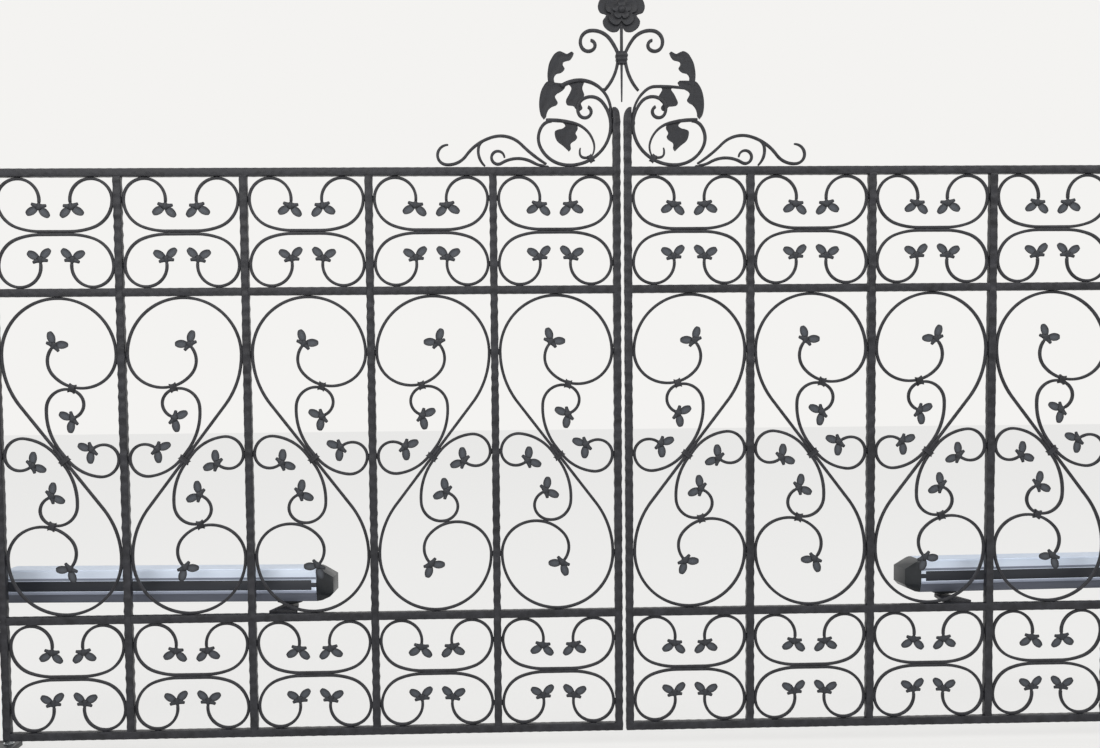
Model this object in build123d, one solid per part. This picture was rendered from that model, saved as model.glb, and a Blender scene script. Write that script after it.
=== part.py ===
from build123d import *
import os
from math import asin, atan2, cos, degrees, hypot, radians, sin, sqrt

# Double driveway gate of forged bars between two steel posts, with a pair of linear gate operators.
# Millimetres. X runs along the gate, Y into the courtyard, Z up. The origin is the middle of the left
# post's foot. The left leaf is modelled with x measured from the gap between the leaves, and the right
# leaf is its mirror image.

os.makedirs("parts", exist_ok=True)

# Frame of each leaf
bays = 5
bay_pitch = 384.0
bar = 25.0
leaf_gap = 10.0
ground_gap = 50.0
band_height = 340.0
panel_height = 992.0
stile_rise = 182.0
stile_top_drop = 16.0
stile_top_radius = 14.0

# Scroll bars, their collars and leaf ends
rod = 9.0
weld_gap = 0.2
collar_length = 20.0
collar_wall = 3.0
collar_ear = 3.5
leaf_thickness = 8.0
calyx_length = 30.0
calyx_half_width = 8.0
lobe_start = 8.0
lobe_length = 18.0
lobe_half_width = 4.5
lobe_angle = 72.0
leaf_start = 14.0
leaf_length = 47.0
leaf_half_width = 11.5
leaf_angle = 52.0

# Bends of the centre panel, as radius and turn, left turns positive
s_shoulder_radius = 260.0
s_curl = [(100.0, 62.0), (115.0, 43.0), (115.0, 35.0), (66.0, 76.0)]
collar_bend_count = 2
upper_hook = [(50.0, 45.0), (42.0, 50.0), (48.0, 36.0)]
side_hook = [(50.0, -72.0), (40.0, -60.0)]
side_touch = 6.0
collar_slip = 9.0
plain_touch_bays = 3

# Lobes of the flat C-scrolls in the bands
band_lobe_radius = 64.0
band_lobe_turn = 185.0

# Crown of each leaf, with heights above the top rail
big_c_height = 128.5
big_c_upper = [(110.0, 40.0), (46.0, 82.0), (44.0, 83.0), (20.5, 124.0), (19.0, 80.0)]
big_c_lower = [(118.0, -42.5), (131.0, -17.0), (131.0, -38.0), (95.5, -57.5), (64.0, -60.0), (37.5, -55.0)]
branch_bend_count = 2
left_arch = (181.8, 97.8, [(98.5, 32.5), (95.0, 67.5), (129.5, 15.0)])
right_arch = (162.0, 96.5, [(110.0, 46.5), (45.5, 35.0), (292.0, 14.0)])
branch_heading = 49.5
branch_bends = [(47.0, 56.0), (85.0, 59.5), (283.0, 18.0)]
branch_hook = [(31.0, -59.0), (19.5, -88.0)]
wave_start = (-205.0, 17.5, 149.0)
wave_long = [(400.0, -14.0), (91.5, 60.0), (153.0, 12.0), (153.0, 26.5), (68.5, -59.5), (29.0, -91.0), (32.0, -86.0)]
bud_bend_count = 3
wave_bud = [(27.5, 50.0), (61.0, 62.0)]
wave_short_start = (-210.0, 5.2, 180.0)
wave_short = [(70.0, -30.0), (97.5, 61.5), (20.0, -144.0), (20.0, -160.0)]

# Outlines of the crown's sheet leaves, from the inner foot of the big C
acanthus_lower = [
    (-189, 273), (-212, 243), (-222, 218), (-226, 195), (-222, 174), (-210, 161), (-203, 168), (-207, 184),
    (-198, 198), (-182, 203), (-178, 214), (-186, 228), (-176, 237), (-152, 248), (-143, 258), (-154, 266),
    (-170, 262),
]
acanthus_upper = [
    (-193, 262), (-200, 293), (-197, 317), (-188, 339), (-172, 357), (-155, 361), (-145, 354), (-131, 360),
    (-120, 356), (-136, 337), (-153, 328), (-157, 317), (-150, 304), (-160, 294), (-174, 292), (-182, 264),
]
drape = [
    (-134, 268), (-125, 252), (-131, 240), (-144, 216), (-139, 202), (-121, 199), (-113, 190), (-103, 183),
    (-92, 191), (-97, 207), (-97, 222), (-88, 230), (-94, 244), (-88, 262), (-110, 274),
]
hanging_leaf = [
    (-152, 146), (-143, 131), (-154, 130), (-167, 128), (-179, 122), (-173, 92), (-151, 76), (-136, 60),
    (-130, 67), (-130, 84), (-113, 95), (-109, 105), (-114, 116), (-107, 128), (-118, 142),
]
right_drape_drop = (8.0, -9.0)
sheet_thickness = 8.0

# Finial over the gap, carried by the left leaf
boss_height = 330.5
boss_width = 27.0
boss_length = 39.0
boss_depth = 22.0
knot_width = 39.0
knot_length = 16.0
knot_depth = 28.0
finial_rod = 9.0
finial_c_start = (-6.0, 3.0, 108.0)
finial_c = [(201.0, 18.0), (67.0, 61.5), (37.0, 108.5), (25.5, 108.0), (16.5, 108.0)]
tail_heading = -104.0
free_tail_turn = 32.0
tail_clearance = 9.0
spear_length = 142.0
spear_width = 6.0
stem_length = 148.0
petal_count = 5
petal_radius = 27.5
petal_circle = 47.0
rosette_layers = [(1.0, 10.0), (0.68, 20.0), (0.4, 30.0)]
button_radius = 13.0
button_depth = 38.0

# Posts and hinges
post_size = 100.0
post_wall = 6.0
post_above_rail = 90.0
cap_overhang = 6.0
cap_rim = 10.0
cap_point = 26.0
foot_size = 220.0
foot_thickness = 16.0
foot_hole = 18.0
foot_hole_spacing = 160.0
hinge_space = 50.0
hinge_radius = 17.0
hinge_pin_radius = 8.0
running_gap = 0.05
hinge_half_length = 60.0
hinge_thrust_gap = 0.5
hinge_strap = 14.0
hinge_heights = (330.0, 1560.0)

# Gate operators, placed from the hinge axis with the leaf closed
pivot_outset = 10.0
pivot_depth = 160.0
carriage_reach = 907.0
carriage_depth = 115.0
carriage_end_gap = 51.0
housing_height = 107.0
housing_width = 88.0
housing_corner = 9.0
housing_taper = 9.0
taper_start = 26.0
housing_centre = 515.0
strip_height = 32.0
strip_depth = 4.0
strip_end = 16.0
strip_neck = 14.0
track_width = 22.0
track_depth = 9.0
slide_gap = 0.3
end_cap_length = 55.0
rear_block_start = 34.0
rear_block_length = 46.0
rear_block_width = 60.0
rear_block_height = 88.0
ear_thickness = 12.0
ear_radius = 24.0
ear_gap = 0.5
shelf_thickness = 12.0
pivot_pin_radius = 8.0
carriage_length = 80.0
carriage_foot_length = 46.0
carriage_width = 44.0
carriage_plate = 10.0
carriage_pin_drop = 3.0
open_pivot_gap = 2.0
bracket_thickness = 10.0
bracket_boss_radius = 24.0
bracket_inward = 52.0
bracket_outward = 36.0
bracket_flange = 8.0
flange_height = 120.0
flange_width = 96.0

# Worked out from the sizes above
bay_clear = bay_pitch - bar
bottom_rail_z = ground_gap + bar / 2
lower_mid_z = bottom_rail_z + bar + band_height
upper_mid_z = lower_mid_z + bar + panel_height
top_rail_z = upper_mid_z + bar + band_height
rail_top = top_rail_z + bar / 2
stile_x = -(leaf_gap + bar) / 2
stile_face = stile_x - bar / 2
hinge_stile_x = stile_x - bays * bay_pitch
hinge_x = hinge_stile_x - bar / 2 - hinge_space / 2
post_x = hinge_x - hinge_space / 2 - post_size / 2
post_top = rail_top + post_above_rail
seat = rod / 2 + weld_gap
boss_z = rail_top + boss_height
rosette_z = boss_z + stem_length


def step(state, amount, turn):
    """State (x, z, heading) after a straight run (length, 0) or an arc (radius, turn)."""
    x, z, heading = state
    h = radians(heading)
    if turn == 0:
        return (x + amount * cos(h), z + amount * sin(h), heading)
    side = 1 if turn > 0 else -1
    cx, cz = x - side * amount * sin(h), z + side * amount * cos(h)
    end = h + radians(turn)
    return (cx + side * amount * sin(end), cz - side * amount * cos(end), heading + turn)


def follow(state, moves):
    for move in moves:
        state = step(state, *move)
    return state


def beside(state, offset):
    """Point at the given distance to the left of a state."""
    x, z, heading = state
    return (x - offset * sin(radians(heading)), z + offset * cos(radians(heading)))


def turned(state):
    """The same point, facing the other way."""
    return (state[0], state[1], state[2] + 180)


def side_edges(state, moves, offset):
    """Edges that run beside a bent bar's centre line."""
    edges = []
    for amount, turn in moves:
        after = step(state, amount, turn)
        if turn == 0:
            edges.append(Line(beside(state, offset), beside(after, offset)))
        else:
            middle = step(state, amount, turn / 2)
            edges.append(ThreePointArc(beside(state, offset), beside(middle, offset), beside(after, offset)))
        state = after
    return edges


def bent_bar(state, moves, size=rod):
    """Square bar bent flat through straight runs and tangent arcs."""
    end = follow(state, moves)
    edges = side_edges(state, moves, size / 2) + side_edges(state, moves, -size / 2)
    edges.append(Line(beside(state, size / 2), beside(state, -size / 2)))
    edges.append(Line(beside(end, size / 2), beside(end, -size / 2)))
    return extrude(Face(Wire(edges)), size / 2, both=True)


def arc_to(state, point):
    """Radius and turn of the arc that leaves a state and reaches a point."""
    x, z, heading = state
    half = (degrees(atan2(point[1] - z, point[0] - x)) - heading + 180) % 360 - 180
    return (hypot(point[0] - x, point[1] - z) / (2 * abs(sin(radians(half)))), 2 * half)


def biarc(start, goal):
    """Two tangent arcs that lead from one state to another."""
    (x1, z1, h1), (x2, z2, h2) = start, goal
    c1, s1, c2, s2 = cos(radians(h1)), sin(radians(h1)), cos(radians(h2)), sin(radians(h2))
    vx, vz = x2 - x1, z2 - z1
    along = vx * (c1 + c2) + vz * (s1 + s2)
    spread = 2 * (1 - c1 * c2 - s1 * s2)
    reach = (sqrt(along ** 2 + spread * (vx ** 2 + vz ** 2)) - along) / spread
    joint = ((x1 + x2 + reach * (c1 - c2)) / 2, (z1 + z2 + reach * (s1 - s2)) / 2)
    first = arc_to(start, joint)
    return [first, arc_to(step(start, *first), (x2, z2))]


def plate(points, thickness):
    """Flat plate with a straight-edged outline, centred on its plane."""
    return extrude(Face(Wire.make_polygon(points)), thickness / 2, both=True)


def placed(shape, state):
    """A flat shape drawn along +X, moved to a state."""
    return Pos(state[0], state[1]) * Rot(0, 0, state[2]) * shape


def blade(length, half_width):
    """Pointed leaf with a round base, drawn along +X from its foot."""
    sides = []
    for rise in (half_width, -half_width):
        widest = (0.42 * length, rise)
        sides.append(ThreePointArc((0, 0), (0.15 * length, 0.68 * rise), widest))
        sides.append(ThreePointArc(widest, (0.76 * length, 0.64 * rise), (length, 0)))
    return extrude(Face(Wire(sides)), leaf_thickness / 2, both=True)


def leaf_pair():
    """Pair of forged leaves over a calyx with two side lobes, drawn along +X from the bar's end."""
    shape = Pos(-rod / 2, 0) * blade(calyx_length, calyx_half_width)
    for side in (-1, 1):
        shape += Pos(lobe_start, 0) * Rot(0, 0, side * lobe_angle) * blade(lobe_length, lobe_half_width)
        shape += Pos(leaf_start, 0) * Rot(0, 0, side * leaf_angle) * blade(leaf_length, leaf_half_width)
    return shape


def collar(bars, size=rod):
    """Forged wrap round bars that lie side by side along X, with ears at its edges."""
    half = (bars * size + (bars - 1) * weld_gap) / 2 + collar_wall
    end = collar_length / 2
    side = [(-end, half + collar_ear), (-end / 2, half), (end / 2, half), (end, half + collar_ear)]
    return plate(side + [(x, -y) for x, y in reversed(side)], size + 2 * collar_wall)


def fused(shapes):
    whole = shapes[0]
    for shape in shapes[1:]:
        whole = whole + shape
    return whole


def standing(x, z, shape):
    """A flat drawing stood up in the gate's plane at (x, z): its Y becomes Z."""
    return Pos(x, 0, z) * (Plane.XZ * shape)


def cuboid(x0, x1, y0, y1, z0, z1):
    return Pos((x0 + x1) / 2, (y0 + y1) / 2, (z0 + z1) / 2) * Box(x1 - x0, y1 - y0, z1 - z0)


def cylinder(x, y, z0, z1, radius):
    return Pos(x, y, (z0 + z1) / 2) * Cylinder(radius, z1 - z0)


def band_scroll():
    """Flat C-scroll with its back at z = 0: a straight back, two wide corners, two lobes with leaf ends."""
    corner_radius = band_height / 2 - 2 * seat - band_lobe_radius
    back = bay_clear / 2 - seat - corner_radius
    bends = [(back, 0), (corner_radius, 90), (band_lobe_radius, band_lobe_turn)]
    start = (0, seat, 0)
    half = bent_bar(start, bends) + placed(leaf_pair(), follow(start, bends))
    return half + mirror(half, about=Plane.YZ)


def band(z):
    """C-scrolls back to back about the height z, in every bay."""
    upper = band_scroll()
    lower = mirror(upper, about=Plane.XZ)
    scrolls = []
    for bay in range(bays):
        x = hinge_stile_x + (bay + 0.5) * bay_pitch
        scrolls += [standing(x, z, upper), standing(x, z, lower)]
    return scrolls


def centre_panel():
    """Big S-scroll from lower left to upper right, with a hooked companion on each side of it.

    Returns the panel as it is at the meeting stile, and with the collar at its lower touch as elsewhere.
    """
    leaf = leaf_pair()
    big_radius = bay_clear / 2 - seat
    circle_z = panel_height / 2 - bay_clear / 2
    lean = s_shoulder_radius - big_radius
    run = sqrt(circle_z ** 2 + lean ** 2 - s_shoulder_radius ** 2)
    heading = degrees(atan2(circle_z, -lean) - asin(s_shoulder_radius / hypot(circle_z, lean)))
    middle = (0, 0, heading)
    s_bends = [(run, 0), (s_shoulder_radius, 90 - heading), (big_radius, 180)] + s_curl
    s_end = follow(middle, s_bends)

    # the companion starts beside the middle and touches the big S again under its curl
    touch = follow((-big_radius, circle_z, -90), s_curl[:collar_bend_count])
    start = (*beside(middle, rod + weld_gap), heading)
    top = (*beside(touch, -rod - weld_gap), touch[2] + 180)
    up_bends = biarc(start, top) + upper_hook
    side = (-big_radius, -side_touch, 90 + 360)
    down_bends = biarc(turned(start), side) + side_hook

    pieces = [bent_bar(middle, s_bends), placed(leaf, s_end)]
    pieces += [bent_bar(start, up_bends), placed(leaf, follow(start, up_bends))]
    pieces += [bent_bar(turned(start), down_bends), placed(leaf, follow(turned(start), down_bends))]
    half = fused(pieces)
    touch_collar = placed(collar(2), (*beside(touch, -(rod + weld_gap) / 2), touch[2]))
    middle_collar = placed(collar(3), step(middle, -collar_slip, 0))
    plain = fused([half, Rot(0, 0, 180) * half, touch_collar, middle_collar])
    return plain, plain + Rot(0, 0, 180) * touch_collar


def centre_panels(plain, collared, plain_bays=0):
    """Centre panels of every bay, leaning alternately, the bay at the meeting stile from upper left."""
    z = (upper_mid_z + lower_mid_z) / 2
    panels = []
    for bay in range(bays):
        shape = plain if bay >= bays - plain_bays else collared
        if (bays - bay) % 2:
            shape = mirror(shape, about=Plane.YZ)
        panels.append(standing(hinge_stile_x + (bay + 0.5) * bay_pitch, z, shape))
    return panels


def uprights():
    """The bars between the bays, from the bottom rail to the top rail."""
    bars = []
    for bay in range(1, bays):
        x = hinge_stile_x + bay * bay_pitch
        bars.append(cuboid(x - bar / 2, x + bar / 2, -bar / 2, bar / 2, ground_gap + bar, top_rail_z - bar / 2))
    return bars


def rail(z):
    """Rail in one length between the stiles."""
    return cuboid(hinge_stile_x + bar / 2, stile_face, -bar / 2, bar / 2, z - bar / 2, z + bar / 2)


def cut_rail(z):
    """Rail in short lengths between the uprights."""
    pieces = []
    for bay in range(bays):
        x = hinge_stile_x + bay * bay_pitch + bar / 2
        pieces.append(cuboid(x, x + bay_clear, -bar / 2, bar / 2, z - bar / 2, z + bar / 2))
    return pieces


def meeting_stile():
    """Bar beside the gap, its top sloped and rounded down towards the gap."""
    outer, inner = stile_face, stile_x + bar / 2
    high, low = rail_top + stile_rise, rail_top + stile_rise - stile_top_drop
    slope = atan2(stile_top_drop, bar)
    shape = Face(Wire.make_polygon([(outer, ground_gap), (inner, ground_gap), (inner, low), (outer, high)]))
    corner = shape.vertices().sort_by_distance(Vector(inner, low))[0]
    shape = shape.fillet_2d(stile_top_radius, [corner])
    return Plane.XZ * extrude(shape, bar / 2, both=True)


def hinge_stile():
    return cuboid(hinge_stile_x - bar / 2, hinge_stile_x + bar / 2, -bar / 2, bar / 2, ground_gap, rail_top)


def arch_start(arch):
    """Where an arch leaves the stile, drawn from the stile's outer face."""
    return (-seat, rail_top + arch[0], arch[1])


def crown_bars(arch):
    """Big C-scroll with its branch and the arch above it, drawn from the stile's outer face."""
    start = (-seat, rail_top + big_c_height, 90)
    low = follow(turned(start), big_c_lower[:branch_bend_count])
    fork = (*beside(low, -rod / 2), branch_heading)
    hook = (*beside(low, -rod / 2), low[2])
    shapes = [
        bent_bar(start, big_c_upper),
        bent_bar(turned(start), big_c_lower),
        bent_bar(arch_start(arch), arch[2]),
        bent_bar(fork, branch_bends),
        bent_bar(hook, branch_hook),
        placed(collar(1), low),
    ]
    return fused(shapes)


def set_down(shape):
    """A flat drawing lowered or lifted until it rests on the top rail."""
    return Pos(0, rail_top + weld_gap - shape.bounding_box().min.Y) * shape


def crown_wave():
    """Low scrolls that run outwards along the top rail: a long one with a forked bud, and a short one."""
    bud = follow(wave_start, wave_long[:bud_bend_count])
    forked = bent_bar(wave_start, wave_long) + bent_bar(bud, wave_bud)
    return [set_down(forked), set_down(bent_bar(wave_short_start, wave_short))]


def sheet(outlines, bars, move=(0, 0)):
    """Sheet leaf of the crown with a smooth outline, cut back to the bars that it is welded to."""
    lobes = []
    for outline in outlines:
        lifted = [(x + move[0], rail_top - bar / 2 + z + move[1]) for x, z in outline]
        face = Face(Wire([Spline(lifted, periodic=True)]))
        lobes.append(extrude(face, sheet_thickness / 2, both=True))
    return (fused(lobes) - bars).solids().sort_by(SortBy.VOLUME)[-1]


def crown(arch, drape_move=(0, 0)):
    """Bars and sheet leaves of one leaf's crown, stood up against the stile."""
    bars = crown_bars(arch)
    sheets = [
        sheet([acanthus_lower, acanthus_upper], bars),
        sheet([drape], bars, drape_move),
        sheet([hanging_leaf], bars),
    ]
    return standing(stile_face, 0, bars), [standing(stile_face, 0, shape) for shape in sheets]


def rosette():
    """Flower of stepped rings of round petals about a raised button."""
    flower = Cylinder(button_radius, button_depth)
    for size, depth in rosette_layers:
        for petal in range(petal_count):
            turn = 360 / petal_count * petal + 90
            flower += Rot(0, 0, turn) * Pos(size * petal_circle, 0) * Cylinder(size * petal_radius, depth)
    return flower


def finial_bars():
    """Pair of C-scrolls, two tails, a spear and a stem, all from one square boss."""
    arch = arch_start(left_arch)
    arch = (stile_face + arch[0], *arch[1:])
    foot = follow(arch, left_arch[2][:1])
    notch = bent_bar(arch, left_arch[2][:2], rod + 2 * weld_gap)
    other = arch_start(right_arch)
    other = step((stile_face + other[0], *other[1:]), right_arch[2][0][0], free_tail_turn)
    c_start = (finial_c_start[0], boss_z + finial_c_start[1], finial_c_start[2])
    tail_start = (-finial_rod / 2, boss_z, tail_heading)
    free_foot = beside(other, -rod / 2 - tail_clearance)
    scroll = bent_bar(c_start, finial_c, finial_rod)
    left_tail = bent_bar(tail_start, [arc_to(tail_start, foot[:2])], finial_rod) - notch
    right_tail = mirror(bent_bar(tail_start, [arc_to(tail_start, free_foot)], finial_rod), about=Plane.YZ)
    shapes = [
        Pos(0, boss_z) * Box(boss_width, boss_length, boss_depth),
        Pos(0, boss_z) * Box(knot_width, knot_length, knot_depth),
        scroll,
        mirror(scroll, about=Plane.YZ),
        left_tail,
        right_tail,
        bent_bar((0, boss_z, -90), [(spear_length, 0)], spear_width),
        bent_bar((0, boss_z, 90), [(stem_length - petal_circle, 0)]),
    ]
    return fused(shapes)


def hinge_halves(z):
    """Lower barrel with its pin, and the upper barrel that turns on it."""
    middle = z
    bottom, top = z - hinge_half_length, z + hinge_half_length
    lower = cylinder(hinge_x, 0, bottom, middle - hinge_thrust_gap / 2, hinge_radius)
    post_face = hinge_x - hinge_space / 2
    half_strap = hinge_strap / 2
    strap_low = cuboid(post_face, hinge_x, -half_strap, half_strap, bottom, middle - hinge_thrust_gap / 2)
    pin = cylinder(hinge_x, 0, bottom, top - hinge_radius / 2, hinge_pin_radius)
    upper = cylinder(hinge_x, 0, middle + hinge_thrust_gap / 2, top, hinge_radius)
    stile_side = hinge_stile_x - bar / 2
    strap_high = cuboid(hinge_x, stile_side, -half_strap, half_strap, middle + hinge_thrust_gap / 2, top)
    bore = cylinder(hinge_x, 0, middle, top - hinge_radius / 2 + hinge_thrust_gap, hinge_pin_radius + running_gap)
    return lower + strap_low + pin, upper + strap_high - bore


def post():
    tube = cuboid(-post_size / 2, post_size / 2, -post_size / 2, post_size / 2, foot_thickness, post_top)
    inside = post_size / 2 - post_wall
    return Pos(post_x, 0, 0) * (tube - cuboid(-inside, inside, -inside, inside, 0, post_top + 1))


def post_foot():
    half = foot_size / 2
    foot = cuboid(-half, half, -half, half, 0, foot_thickness)
    for hole in GridLocations(foot_hole_spacing, foot_hole_spacing, 2, 2):
        foot -= hole * Cylinder(foot_hole / 2, 3 * foot_thickness)
    return Pos(post_x, 0, 0) * foot


def post_cap():
    """Square cap with an upright rim and a low point."""
    width = post_size + 2 * cap_overhang
    rim = Pos(post_x, 0, post_top + cap_rim / 2) * Box(width, width, cap_rim)
    point = extrude(Rectangle(width, width), cap_point, taper=60)
    return rim + Pos(post_x, 0, post_top + cap_rim) * point


def pivot():
    """The operator's rear pivot, as (x, y)."""
    return (post_x - pivot_outset, pivot_depth)


def post_bracket():
    """Flange on the post's back with a shelf that carries the operator's rear pin."""
    x, y = pivot()
    back = post_size / 2
    flange = cuboid(
        post_x - flange_width / 2, post_x + flange_width / 2, back, back + bracket_flange,
        housing_centre - flange_height / 2, housing_centre + flange_height / 2,
    )
    low, high = housing_centre - shelf_thickness / 2, housing_centre + shelf_thickness / 2
    shelf = cuboid(x - ear_radius, x + ear_radius, back, y, low, high) + cylinder(x, y, low, high, ear_radius)
    return flange + shelf - cylinder(x, y, low - 1, high + 1, pivot_pin_radius + running_gap)


def operator_line():
    """Distance and angle from the rear pivot to the carriage pin, with the leaf closed."""
    x, y = pivot()
    dx, dy = hinge_x + carriage_reach - x, carriage_depth - y
    return hypot(dx, dy), degrees(atan2(dy, dx))


def housing_end():
    """Distance from the rear pivot to the end of the housing, just past the carriage of a closed leaf."""
    return operator_line()[0] + carriage_length / 2 + carriage_end_gap


def aimed(shape):
    """An operator piece drawn along +X from the pivot at z = 0, put in place."""
    x, y = pivot()
    return Pos(x, y, housing_centre) * Rot(0, 0, operator_line()[1]) * shape


def across(profile, start, length):
    """A profile in the YZ plane, drawn out along X."""
    return Pos(start, 0, 0) * extrude(Plane.YZ * profile, length)


def housing_profile():
    """Cross-section of the housing: round top corners, and sides that lean in below the strip."""
    half, high, foot = housing_width / 2, housing_height / 2, housing_width / 2 - housing_taper
    outline = [(-half, high), (-half, -taper_start), (-foot, -high), (foot, -high), (half, -taper_start), (half, high)]
    shape = Face(Wire.make_polygon(outline))
    return shape.fillet_2d(housing_corner, shape.vertices().group_by(Axis.Y)[-1])


def operator_housing():
    """Extruded housing with a recess for the strip on its street side and a track below."""
    start, end = rear_block_start + rear_block_length, housing_end()
    body = across(housing_profile(), start, end - start)
    half, front = housing_width / 2, -housing_width / 2
    recess = cuboid(start, end, front - 1, front + strip_depth, -strip_height / 2, strip_height / 2)
    clips = cuboid(end - strip_end, end, front, front + strip_depth, -strip_height / 2, strip_height / 2)
    clips -= cuboid(
        end - strip_end - 1, end + 1, front - 1, front + strip_depth + 1, -strip_neck / 2, strip_neck / 2,
    )
    track = cuboid(
        start - 1, end + 1, -track_width / 2, track_width / 2,
        -housing_height / 2 - 1, -housing_height / 2 + track_depth,
    )
    return aimed(body - recess - track + clips)


def operator_strip():
    """Dark strip in the housing's recess, necked down where it meets the end cap."""
    start, end = rear_block_start + rear_block_length, housing_end()
    front = -housing_width / 2
    wide = cuboid(start, end - strip_end, front, front + strip_depth, -strip_height / 2, strip_height / 2)
    neck = cuboid(start, end, front, front + strip_depth, -strip_neck / 2, strip_neck / 2)
    return aimed(wide + neck)


def operator_end_cap():
    """Closed end of the housing in its cross-section, its top and bottom cut away towards the tip."""
    top, bottom = housing_height / 2, -housing_height / 2
    length = end_cap_length
    outline = [
        (0, bottom), (0.3 * length, 0.95 * bottom), (0.78 * length, 0.72 * bottom), (length, 0.48 * bottom),
        (length, 0.47 * top), (0.12 * length, top), (0, top),
    ]
    side_view = Plane.XZ * plate(outline, housing_width)
    return aimed(across(housing_profile(), housing_end(), length) & Pos(housing_end(), 0, 0) * side_view)


def operator_rear():
    """Rear block with two ears and the pin that turns in the post's shelf."""
    half = rear_block_width / 2
    end = rear_block_start + rear_block_length
    block = cuboid(rear_block_start, end, -half, half, -rear_block_height / 2, rear_block_height / 2)
    inner = shelf_thickness / 2 + ear_gap
    for low in (inner, -inner - ear_thickness):
        block += cuboid(0, end, -ear_radius, ear_radius, low, low + ear_thickness)
        block += cylinder(0, 0, low, low + ear_thickness, ear_radius)
    reach = inner + ear_thickness
    return aimed(block + cylinder(0, 0, -reach, reach, pivot_pin_radius))


def carriage():
    """Carriage that hangs in the track, with the stub of its pin pointing down at the leaf's bracket."""
    x = operator_line()[0]
    under = -housing_height / 2
    neck = track_width / 2 - slide_gap
    half, foot = carriage_length / 2, carriage_foot_length / 2
    high, low = under - slide_gap, under - slide_gap - carriage_plate
    outline = [(x - half, high), (x - half, (high + low) / 2), (x - foot, low)]
    outline += [(x + foot, low), (x + half, (high + low) / 2), (x + half, high)]
    block = Plane.XZ * plate(outline, carriage_width)
    block += cuboid(x - half, x + half, -neck, neck, under - slide_gap - 1, under + track_depth - slide_gap)
    pin_end = under - slide_gap - carriage_plate - carriage_pin_drop
    return aimed(block + cylinder(x, 0, pin_end, under - slide_gap, pivot_pin_radius))


def leaf_bracket():
    """Plate on the back of the lower middle rail, bored for the carriage pin and open above it."""
    x, y = hinge_x + carriage_reach, carriage_depth
    high = housing_centre - housing_height / 2 - slide_gap - carriage_plate - carriage_pin_drop - open_pivot_gap
    low = high - bracket_thickness
    radius, inward, outward = bracket_boss_radius, x - bracket_inward, x + bracket_outward
    arm = extrude(Pos(0, 0, low) * Face(Wire.make_polygon([
        (inward, bar / 2), (outward, bar / 2), (x + radius, y), (x - radius, y),
    ])), high - low)
    arm += cylinder(x, y, low, high, radius)
    arm -= cylinder(x, y, low - 1, high + 1, pivot_pin_radius + slide_gap)
    back = bar / 2 + bracket_flange
    return arm + cuboid(inward, outward, bar / 2, back, lower_mid_z - bar / 2, lower_mid_z + bar / 2)


def save(name, shapes):
    """Write one node, moved so that the origin is at the left post's foot."""
    parts = shapes if isinstance(shapes, list) else [shapes]
    solids = [solid for shape in parts for solid in (Pos(-post_x, 0, 0) * shape).solids()]
    export_step(Compound(solids), f"parts/{name}.step")


def mirrored(shapes):
    """Left-hand pieces turned into right-hand ones."""
    parts = shapes if isinstance(shapes, list) else [shapes]
    return [mirror(shape, about=Plane.YZ) for shape in parts]


def save_pair(name, shapes):
    save(f"left_{name}", shapes)
    save(f"right_{name}", mirrored(shapes))


def save_together(name, shapes):
    parts = shapes if isinstance(shapes, list) else [shapes]
    save(name, parts + mirrored(parts))


# Fixed pieces
save_pair("post", post())
save_together("post_feet", post_foot())
save_together("post_caps", post_cap())
hinges = [hinge_halves(z) for z in hinge_heights]
save_together("hinge_pins", [pair[0] for pair in hinges])
save_together("operator_post_brackets", post_bracket())

# Leaves
save_pair("hinge_stile", hinge_stile())
save_pair("meeting_stile", meeting_stile())
save_pair("uprights", uprights())
save_pair("top_rail", rail(top_rail_z))
save_pair("bottom_rail", rail(bottom_rail_z))
save_pair("upper_mid_rail", cut_rail(upper_mid_z))
save_pair("lower_mid_rail", cut_rail(lower_mid_z))
save_pair("upper_band", band((top_rail_z + upper_mid_z) / 2))
save_pair("lower_band", band((lower_mid_z + bottom_rail_z) / 2))
plain, collared = centre_panel()
save("left_centre_panels", centre_panels(plain, collared, plain_touch_bays))
save("right_centre_panels", mirrored(centre_panels(plain, collared)))
save_pair("hinge_barrels", [pair[1] for pair in hinges])
save_pair("leaf_bracket", leaf_bracket())

# Crown, whose right-hand arch was bent a little lower than the left-hand one
bars, sheets = crown(left_arch)
save("left_crown_bars", bars)
save("left_crown_leaves", sheets)
bars, sheets = crown(right_arch, right_drape_drop)
save("right_crown_bars", mirrored(bars))
save("right_crown_leaves", mirrored(sheets))
save_pair("crown_wave", [standing(stile_face, 0, shape) for shape in crown_wave()])

# Finial, on the left leaf
save("finial_bars", standing(0, 0, finial_bars() - Pos(0, rosette_z) * rosette()))
save("finial_rosette", standing(0, rosette_z, rosette()))

# Operators
save_pair("operator_housing", operator_housing())
save_pair("operator_strip", operator_strip())
save_pair("operator_end_cap", operator_end_cap())
save_pair("operator_rear", operator_rear())
save_pair("operator_carriage", carriage())

reach, angle = operator_line()
print("hinge axis x", round(hinge_x - post_x, 3), "gap x", round(-post_x, 3), "rail top", rail_top)
print("pivot", [round(v, 3) for v in (pivot()[0] - post_x, pivot()[1])], "line", round(reach, 3), round(angle, 4))
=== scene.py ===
import math

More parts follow.
